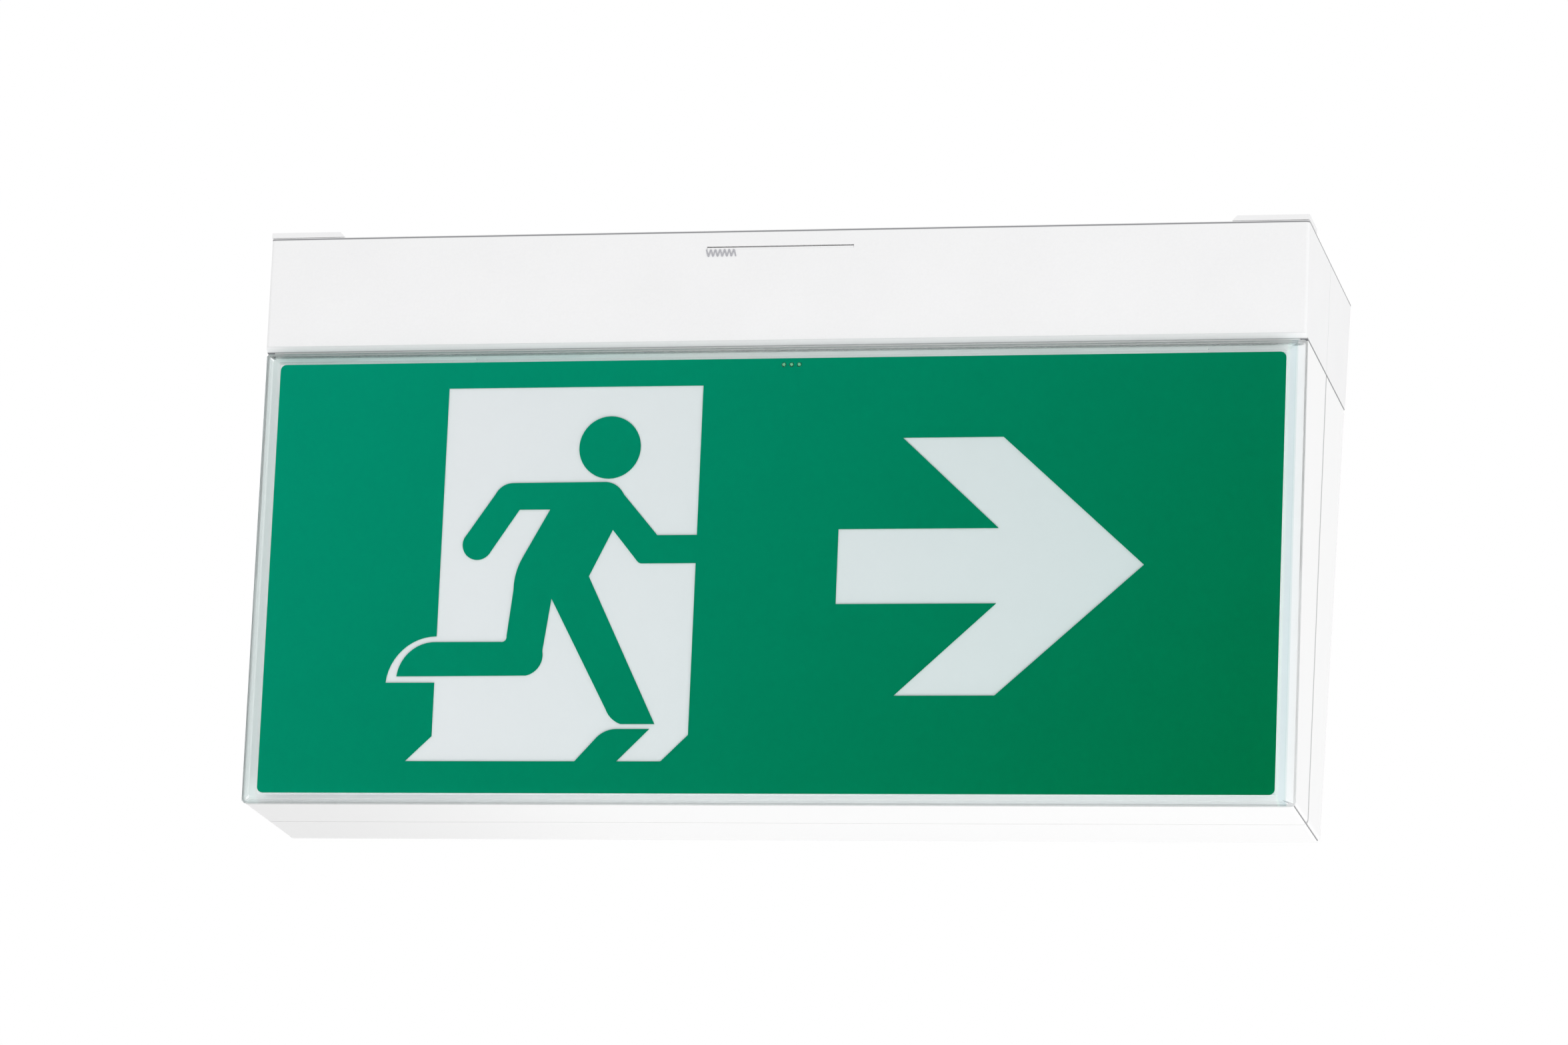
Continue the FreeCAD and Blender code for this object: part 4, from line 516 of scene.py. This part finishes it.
class EXITLIGHT_OT_stage(bpy.types.Operator):
    """Lay the floor, hang the lamps, light the world and place the camera"""

    bl_idname = "exitlight.stage"
    bl_label = "Studio"

    def execute(self, context):
        sizes = context.scene.exit_light_sizes
        bm = bmesh.new()
        bmesh.ops.create_grid(bm, x_segments=1, y_segments=1, size=sizes.floor_span / 2)
        bmesh.ops.translate(bm, verts=bm.verts, vec=(0, 0, -sizes.floor_drop))
        floor = add_mesh("studio_floor", bm, self.floor_material(sizes))

        self.light_world(context.scene)
        for lamp in LAMPS:
            self.add_lamp(*lamp)
        self.place_camera(context.scene, sizes)
        context.scene.view_settings.view_transform = "Standard"
        return {"FINISHED"}

    def floor_material(self, sizes):
        """Pale matt floor that fades into the white world and shows from above alone."""
        material, tree, shader = new_material("Pale Floor")
        place = coordinates(tree, (-900, 0))["Object"]
        away = add_node(tree, "ShaderNodeVectorMath", (-700, 0), {0: place}, operation="LENGTH")
        fade = add_range(
            tree, (-500, 0), away.outputs["Value"], sizes.floor_drop * FADE_START,
            sizes.floor_span * FADE_END, smooth=True)
        tone = add_noise(tree, (-500, 250), place, 0.8)
        shade = add_mix(tree, (-200, 250), tone, (0.85, 0.85, 0.85, 1), (0.87, 0.87, 0.87, 1))
        feed(tree, shader, {"Base Color": shade, "Roughness": 0.8})
        path = add_node(tree, "ShaderNodeLightPath", (-500, -250))
        seen = add_math(tree, (-200, -150), "MULTIPLY", fade, path.outputs["Is Camera Ray"])
        glow = add_node(tree, "ShaderNodeEmission", (500, -400))
        far = add_node(
            tree, "ShaderNodeMixShader", (700, -100),
            {"Fac": seen, 1: shader.outputs[0], 2: glow.outputs[0]})
        side = add_node(tree, "ShaderNodeNewGeometry", (500, 300))
        clear = add_node(tree, "ShaderNodeBsdfTransparent", (700, -300))
        both = add_node(
            tree, "ShaderNodeMixShader", (850, 200),
            {"Fac": side.outputs["Backfacing"], 1: far.outputs[0], 2: clear.outputs[0]})
        show_shader(tree, both)
        return material

    def light_world(self, scene):
        """White world that lights the object a little less than it shows."""
        world = bpy.data.worlds.new("Pale Studio")
        scene.world = world
        world.use_nodes = True
        tree = world.node_tree
        path = add_node(tree, "ShaderNodeLightPath", (-700, 0)).outputs
        mirrored = add_math(
            tree, (-500, 0), "MAXIMUM", path["Is Glossy Ray"], path["Is Transmission Ray"])
        seen = add_math(tree, (-400, 0), "MAXIMUM", path["Is Camera Ray"], mirrored)
        strength = add_range(tree, (-300, 0), seen, 0.0, 1.0, low=WORLD_LIGHT)
        feed(tree, tree.nodes["Background"], {"Color": (1, 1, 1, 1), "Strength": strength})

    def add_lamp(self, name, place, size, power, colour):
        """Hang a square lamp that aims at the sign's middle."""
        light = bpy.data.lights.new(name, "AREA")
        light.shape = "SQUARE"
        light.size = size
        light.energy = power
        light.color = colour
        lamp = add_object(name, light)
        lamp.location = place
        aim = SIGN_MIDDLE - Vector(place)
        lamp.rotation_euler = aim.to_track_quat("-Z", "Y").to_euler()

    def place_camera(self, scene, sizes):
        """Look up at the sign from its front right."""
        data = bpy.data.cameras.new("studio_camera")
        data.sensor_width = 36.0
        data.lens = sizes.lens
        data.shift_x, data.shift_y = CAMERA_SHIFT
        data.clip_start, data.clip_end = 0.05, 100.0
        camera = add_object("studio_camera", data)
        yaw, pitch, roll = (math.radians(angle) for angle in CAMERA_TURN)
        turn = (Matrix.Rotation(yaw, 4, "Z") @ Matrix.Rotation(math.pi / 2 + pitch, 4, "X")
                @ Matrix.Rotation(roll, 4, "Z"))
        camera.matrix_world = Matrix.Translation(CAMERA_PLACE) @ turn
        scene.camera = camera


class EXITLIGHT_OT_hood(bpy.types.Operator):
    """Finish the hood, plate and latch, and add the ribbed grip and the lip of the release slot"""

    bl_idname = "exitlight.hood"
    bl_label = "Hood and plate"

    def execute(self, context):
        sizes, colours = context.scene.exit_light_sizes, context.scene.exit_light_colours
        hood_white = tuple(colours.hood_white)
        white = moulded(
            "Hood White", hood_white, 0.46, grain=0.0007, depth=0.00006, mottle=0.05, dust=0.015,
            seams=self.joint_shade_lines())
        inside = moulded("Plate White", hood_white, 0.55, grain=0.0009, mottle=0.03, dust=0.05)
        paint_node("hood", white)
        paint_node("mounting_plate", inside)
        paint_node("release_latch", inside)
        self.add_grip(sizes)
        self.add_lip(sizes, white)
        return {"FINISHED"}

    def joint_shade_lines(self):
        """Painted shade along the joints over and under the hood, in the crease above its bevel,
        and at its ends' parting; the whole underside is painted dark as the shade seen through the
        cover.
        """
        top = {"Height A": HOOD_HIGH.z - SEAM_INSET, "Width A": SEAM_INSET}
        return (
            {**top, "Height B": HOOD_LOW.z, "Width B": 5 * HAIRLINE, "Strength": 0.85},
            {"Height A": HOOD_LOW.z + BEVEL_RISE, "Width A": 2 * HAIRLINE, "Strength": 0.14},
            {**top, "Height B": HOOD_LOW.z + 2 * HAIRLINE, "Width B": 6 * HAIRLINE,
             "Strength": 0.8, "Ends": 1.0},
            {"Depth": 0.0, "Depth Width": 5 * HAIRLINE, "Strength": 0.08, "Ends": 1.0})

    def low_half(self):
        """Half the hood's depth at its lower edge, from the widest point near it."""
        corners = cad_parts["hood"].data.vertices
        low = HOOD_LOW.z + LOW_EDGE_BAND
        return max(abs(corner.co.y) for corner in corners if corner.co.z < low)

    def set_on_face(self, bm, height):
        """Turn a bmesh built round the origin to the hood's front face, at this height."""
        lean = math.atan2(HOOD_HALF_DEPTH - self.low_half(), HOOD_HIGH.z - HOOD_LOW.z)
        bmesh.ops.rotate(
            bm, verts=bm.verts, cent=(0, 0, 0), matrix=Matrix.Rotation(lean, 3, "X"))
        front = -(HOOD_HALF_DEPTH + math.tan(lean) * (height - HOOD_HIGH.z))
        bmesh.ops.translate(bm, verts=bm.verts, vec=(0, front, height))

    def add_grip(self, sizes):
        """Small slanted ribs under the left end of the release slot."""
        grey = moulded("Grip Grey", (0.45, 0.45, 0.48), 0.5, grain=0.0004)
        bm = bmesh.new()
        pitch = sizes.grip_length / sizes.grip_ribs
        for number in range(sizes.grip_ribs):
            left = number * pitch - sizes.slot_half
            right = left + pitch * RIB_SHARE
            rib = block(
                bm, (left, RIB_FRONT, -sizes.grip_height), (right, RIB_BACK, 0.0), RIB_EASE)
            slant = Matrix.Identity(4)
            slant[0][2] = RIB_SLANT if number % 2 else -RIB_SLANT
            middle = Matrix.Translation((left, 0, -sizes.grip_height / 2))
            bmesh.ops.transform(bm, verts=rib, matrix=middle @ slant @ middle.inverted())
        self.set_on_face(bm, HOOD_HIGH.z - sizes.slot_drop - SLOT_HALF_HEIGHT)
        self.finish_piece("slot_grip", bm, grey)

    def add_lip(self, sizes, white):
        """Thin lip that closes the lower part of the release slot."""
        bm = bmesh.new()
        end = sizes.slot_half - LIP_END_GAP
        block(bm, (-end, LIP_FRONT, -SLOT_HALF_HEIGHT), (end, LIP_BACK, LIP_TOP), LIP_EASE)
        self.set_on_face(bm, HOOD_HIGH.z - sizes.slot_drop)
        self.finish_piece("slot_lip", bm, white)

    def finish_piece(self, name, bm, material):
        """Make a bmesh a piece that swings with the housing."""
        piece = add_mesh(name, bm, material)
        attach(piece, "housing")


class EXITLIGHT_OT_light_box(bpy.types.Operator):
    """Finish the opal shells, the clear front cover and the opal rear cover"""

    bl_idname = "exitlight.light_box"
    bl_label = "Light box"

    def execute(self, context):
        colours = context.scene.exit_light_colours
        shell_white = tuple(colours.shell_white)
        opal = moulded(
            "Opal Shell", shell_white, 0.30, grain=0.0012, depth=0.00001, mottle=0.008,
            subsurface=0.1, dust=0.01, shadow=SHELL_SHADE, seams=self.joint_shade_lines())
        cover = moulded(
            "Opal Cover", shell_white, 0.16, grain=0.002, depth=0.000006, mottle=0.006,
            subsurface=0.15)
        for name in ("front_shell", "rear_shell"):
            paint_node(name, opal)
        paint_node("rear_cover", cover)
        paint_node("front_cover", self.clear_plastic(colours))
        return {"FINISHED"}

    def joint_shade_lines(self):
        """Painted shade in the joint between the two shells, and along the edge under their ends.
        """
        return (
            {"Depth": 0.0, "Depth Width": 4 * HAIRLINE, "Strength": 0.06},
            {"Depth": 0.0, "Depth Width": 14 * HAIRLINE, "Strength": 0.85, "Ends": 1.0},
            {"Height A": SHELL_LOW.z + SEAM_INSET, "Width A": SEAM_INSET, "Strength": 0.9,
             "Ends": 1.0})

    def clear_plastic(self, colours):
        """Clear moulded cover: it refracts, and lets lamp light through to the legend."""
        material, tree, shader = new_material("Clear Cover")
        marks = use_group(tree, rub_group(), (0, -200), {"Patch Size": 0.08, "Amount": 0.04})
        feed(tree, shader, {
            "Base Color": self.border_tint_and_light(tree, colours),
            "Roughness": add_math(tree, (250, -150), "ADD", marks["Mask"], 0.015),
            "Transmission Weight": 1.0, "IOR": 1.16, "Specular Tint": (0.0, 0.0, 0.0, 1)})
        clear = add_node(
            tree, "ShaderNodeBsdfTransparent", (500, -420), {"Color": (0.95, 0.985, 0.98, 1)})
        path = add_node(tree, "ShaderNodeLightPath", (300, 300))
        choose = add_node(
            tree, "ShaderNodeMixShader", (760, 0),
            {"Fac": path.outputs["Is Shadow Ray"], 1: shader.outputs[0], 2: clear.outputs[0]})
        show_shader(tree, choose)
        return material

    def border_tint_and_light(self, tree, colours):
        """Clear over the legend, with bands in the border round it that are partly the cover's
        green tint and partly painted light and shade for its refraction streaks and glints.
        """
        axes = split_axes(tree, (-1300, 0), coordinates(tree, (-1500, 0))["Object"])
        tint = add_node(tree, "ShaderNodeRGB", (-700, 500)).outputs[0]
        tint.default_value = (*colours.cover_tint, 1)
        for number, (axis, edge, rim, bands) in enumerate((
                ("Z", FILM_LOW.z, COVER_LOW.z, BORDER_LOW),
                ("Z", FILM_HIGH.z, COVER_HIGH.z, BORDER_TOP),
                ("X", FILM_LOW.x, COVER_LOW.x, BORDER_LEFT),
                ("X", FILM_HIGH.x, COVER_HIGH.x, BORDER_RIGHT))):
            down = -260 * number
            share = add_range(tree, (-1050, down), axes[axis], edge, rim)
            along = share
            if bands is BORDER_TOP:
                along = add_range(
                    tree, (-1050, down - 120), axes["X"], COVER_LOW.x, COVER_HIGH.x)
            ramp = add_node(tree, "ShaderNodeValToRGB", (-800, down), {"Fac": along})
            self.fill_ramp(ramp.color_ramp, bands)
            inside = add_range(
                tree, (-550, down - 120), share, TINT_START, TINT_END, smooth=True)
            tint = add_mix(tree, (-300, down), inside, tint, ramp.outputs["Color"])
        return tint

    def fill_ramp(self, ramp, bands):
        """Set a colour ramp's stops from (position, colour) pairs."""
        while len(ramp.elements) < len(bands):
            ramp.elements.new(1.0)
        for stop, (position, colour) in zip(ramp.elements, bands):
            stop.position = position
            stop.color = (*colour, 1)


class EXITLIGHT_OT_legend(bpy.types.Operator):
    """Print the green legend film and finish the white panel behind it"""

    bl_idname = "exitlight.legend"
    bl_label = "Legend"

    def execute(self, context):
        colours = context.scene.exit_light_colours
        green = self.drifting(
            "Legend Green", colours.legend_green_lit, colours.legend_green_shaded, across=0.72,
            mottle=0.05, roughness=0.38, specular=0.0)
        white = self.drifting(
            "Panel White", colours.panel_white_lit, colours.panel_white_shaded, across=0.95,
            mottle=0.015, roughness=0.6, specular=0.1)
        paint_node("legend_film", green)
        paint_node("legend_panel", white)
        paint_node("rear_reflector", white)
        return {"FINISHED"}

    def drifting(self, name, near, far, across, mottle, roughness, specular):
        """Matt finish that turns from its near to its far colour towards the lower right: painted
        shade, darker there.
        """
        material, tree, shader = new_material(name)
        drift = use_group(tree, drift_group(), (-500, 100), {"Across": across})
        blend = add_mix(tree, (-200, 100), drift["Share"], (*near, 1), (*far, 1))
        grit = use_group(tree, moulding_group(), (50, 0), {
            "Colour": blend, "Grain Size": 0.0005, "Mottle": mottle, "Roughness": roughness,
            "Roughness Spread": 0.05})
        feed(tree, shader, {
            "Base Color": grit["Colour"], "Roughness": grit["Roughness"],
            "Specular IOR Level": specular})
        return material


class EXITLIGHT_OT_gear(bpy.types.Operator):
    """Finish the gear inside: board, battery, terminals, leads, screws and lamps"""

    bl_idname = "exitlight.gear"
    bl_label = "Gear"

    def execute(self, context):
        colours = context.scene.exit_light_colours
        zinc = metal("Zinc Plate", (0.62, 0.63, 0.65), 0.28)
        steel = metal("Spring Steel", (0.50, 0.51, 0.53), 0.22, brushed=(0.1, 1, 1))
        brass = metal("Contact Brass", (0.78, 0.57, 0.26), 0.24)
        nylon = moulded("Natural Nylon", (0.72, 0.69, 0.58), 0.4, grain=0.0004)
        grey = moulded("Terminal Grey", (0.62, 0.64, 0.63), 0.45, grain=0.0005)
        finishes = {
            "tray_screws": zinc, "board_screws": zinc, "clamp_screws": zinc,
            "hinge_pins": steel, "latch_spring": steel,
            "contact_pads": brass, "contact_fingers": brass,
            "terminal_block": grey, "contact_holder": grey, "battery_cradles": grey,
            "board_sockets": nylon, "battery_plug": nylon,
            "gear_tray": moulded(
                "Powder Coat", (0.80, 0.81, 0.81), 0.42, grain=0.0011, depth=0.00005, dust=0.03),
            "driver_chip": moulded(
                "Black Resin", (0.015, 0.015, 0.016), 0.5, grain=0.0003, mottle=0.1),
            "cable_grommet": moulded(
                "Grommet Rubber", (0.02, 0.02, 0.021), 0.7, grain=0.0006, mottle=0.15),
            "transformer_core": moulded(
                "Ferrite", (0.045, 0.046, 0.05), 0.6, grain=0.0003, mottle=0.2),
            "transformer_coil": moulded(
                "Coil Tape", (0.62, 0.40, 0.02), 0.25, grain=0.003, mottle=0.05, coat=0.4),
            "capacitors": moulded(
                "Capacitor Sleeve", (0.012, 0.020, 0.055), 0.22, grain=0.002, mottle=0.1,
                coat=0.5),
            "battery_cells": moulded(
                "Cell Sleeve", (0.02, 0.16, 0.34), 0.25, grain=0.004, mottle=0.05, coat=0.4),
            "led_board": moulded("Lamp Board White", (0.82, 0.82, 0.80), 0.35, grain=0.0006),
            "led_lamps": moulded(
                "Lamp Yellow", (0.85, 0.68, 0.16), 0.2, grain=0.0006, coat=0.5),
            "driver_board": self.circuit_board(colours),
            "status_light_pipe": self.pipe_green(),
        }
        for name, material in finishes.items():
            paint_node(name, material)
        self.add_lead(
            "battery_lead", BATTERY_ROUTE, BATTERY_LEAD_RADIUS,
            moulded("Lead Black", (0.018, 0.018, 0.02), 0.45, grain=0.0008, mottle=0.1))
        self.add_lead(
            "lamp_lead", LAMP_ROUTE, LAMP_LEAD_RADIUS,
            moulded("Lead White", (0.75, 0.75, 0.73), 0.45, grain=0.0008))
        return {"FINISHED"}

    def add_lead(self, node, route, radius, material):
        """Run a smooth round lead along a route, in place of the node of that name."""
        curve = bpy.data.curves.new(f"smooth_{node}", "CURVE")
        curve.dimensions = "3D"
        curve.bevel_depth = radius
        curve.bevel_resolution = 4
        curve.use_fill_caps = True
        spline = curve.splines.new("NURBS")
        spline.points.add(len(route) - 1)
        for point, place in zip(spline.points, route):
            point.co = (*place, 1.0)
        spline.order_u = 3
        spline.use_endpoint_u = True
        spline.resolution_u = 10
        curve.materials.append(material)
        lead = add_object(f"smooth_{node}", curve)
        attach(lead, "housing")
        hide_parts(node)

    def circuit_board(self, colours):
        """Solder mask with copper tracks showing faintly through it."""
        material, tree, shader = new_material("Circuit Board")
        green = colours.board_green
        tracks = add_node(tree, "ShaderNodeTexBrick", (-700, 100), {
            "Vector": coordinates(tree, (-1100, 0))["Object"],
            "Scale": 130.0, "Mortar Size": 0.08, "Color1": (*green, 1),
            "Color2": (*[channel * 1.15 for channel in green], 1),
            "Mortar": (*[channel * 2.1 for channel in green], 1)})
        grit = use_group(tree, moulding_group(), (-200, 0), {
            "Colour": tracks.outputs["Color"], "Grain Size": 0.0009, "Mottle": 0.1,
            "Roughness": 0.28})
        feed(tree, shader, {"Base Color": grit["Colour"], "Roughness": grit["Roughness"]})
        return material

    def pipe_green(self):
        """Green tinted light pipe with a faint painted glow, though no lamp behind it is lit."""
        material, tree, shader = new_material("Status Pipe")
        grit = use_group(tree, moulding_group(), (-200, 0), {
            "Colour": (0.12, 0.46, 0.25, 1), "Grain Size": 0.001, "Mottle": 0.05,
            "Roughness": 0.2})
        feed(tree, shader, {
            "Base Color": grit["Colour"], "Roughness": grit["Roughness"],
            "Emission Color": (0.18, 0.72, 0.34, 1), "Emission Strength": 0.07})
        return material


class EXITLIGHT_PT_panel(bpy.types.Panel):
    """Buttons for each part of the dressing"""

    bl_idname = "EXITLIGHT_PT_panel"
    bl_label = "Exit Light"
    bl_space_type = "VIEW_3D"
    bl_region_type = "UI"
    bl_category = "Exit Light"

    def draw(self, context):
        layout = self.layout
        for operator in OPERATORS:
            layout.operator(operator.bl_idname)
        for group in (context.scene.exit_light_sizes, context.scene.exit_light_colours):
            for name in group.__annotations__:
                layout.prop(group, name)


OPERATORS = (
    EXITLIGHT_OT_stage,
    EXITLIGHT_OT_hood,
    EXITLIGHT_OT_light_box,
    EXITLIGHT_OT_legend,
    EXITLIGHT_OT_gear,
)
CLASSES = (ExitLightSizes, ExitLightColours, *OPERATORS, EXITLIGHT_PT_panel)


def register():
    for cls in CLASSES:
        bpy.utils.register_class(cls)
    bpy.types.Scene.exit_light_sizes = PointerProperty(type=ExitLightSizes)
    bpy.types.Scene.exit_light_colours = PointerProperty(type=ExitLightColours)


def unregister():
    del bpy.types.Scene.exit_light_colours
    del bpy.types.Scene.exit_light_sizes
    for cls in reversed(CLASSES):
        bpy.utils.unregister_class(cls)


def main():
    register()
    bpy.ops.exitlight.stage()
    bpy.ops.exitlight.hood()
    bpy.ops.exitlight.light_box()
    bpy.ops.exitlight.legend()
    bpy.ops.exitlight.gear()


if __name__ == "__main__":
    main()
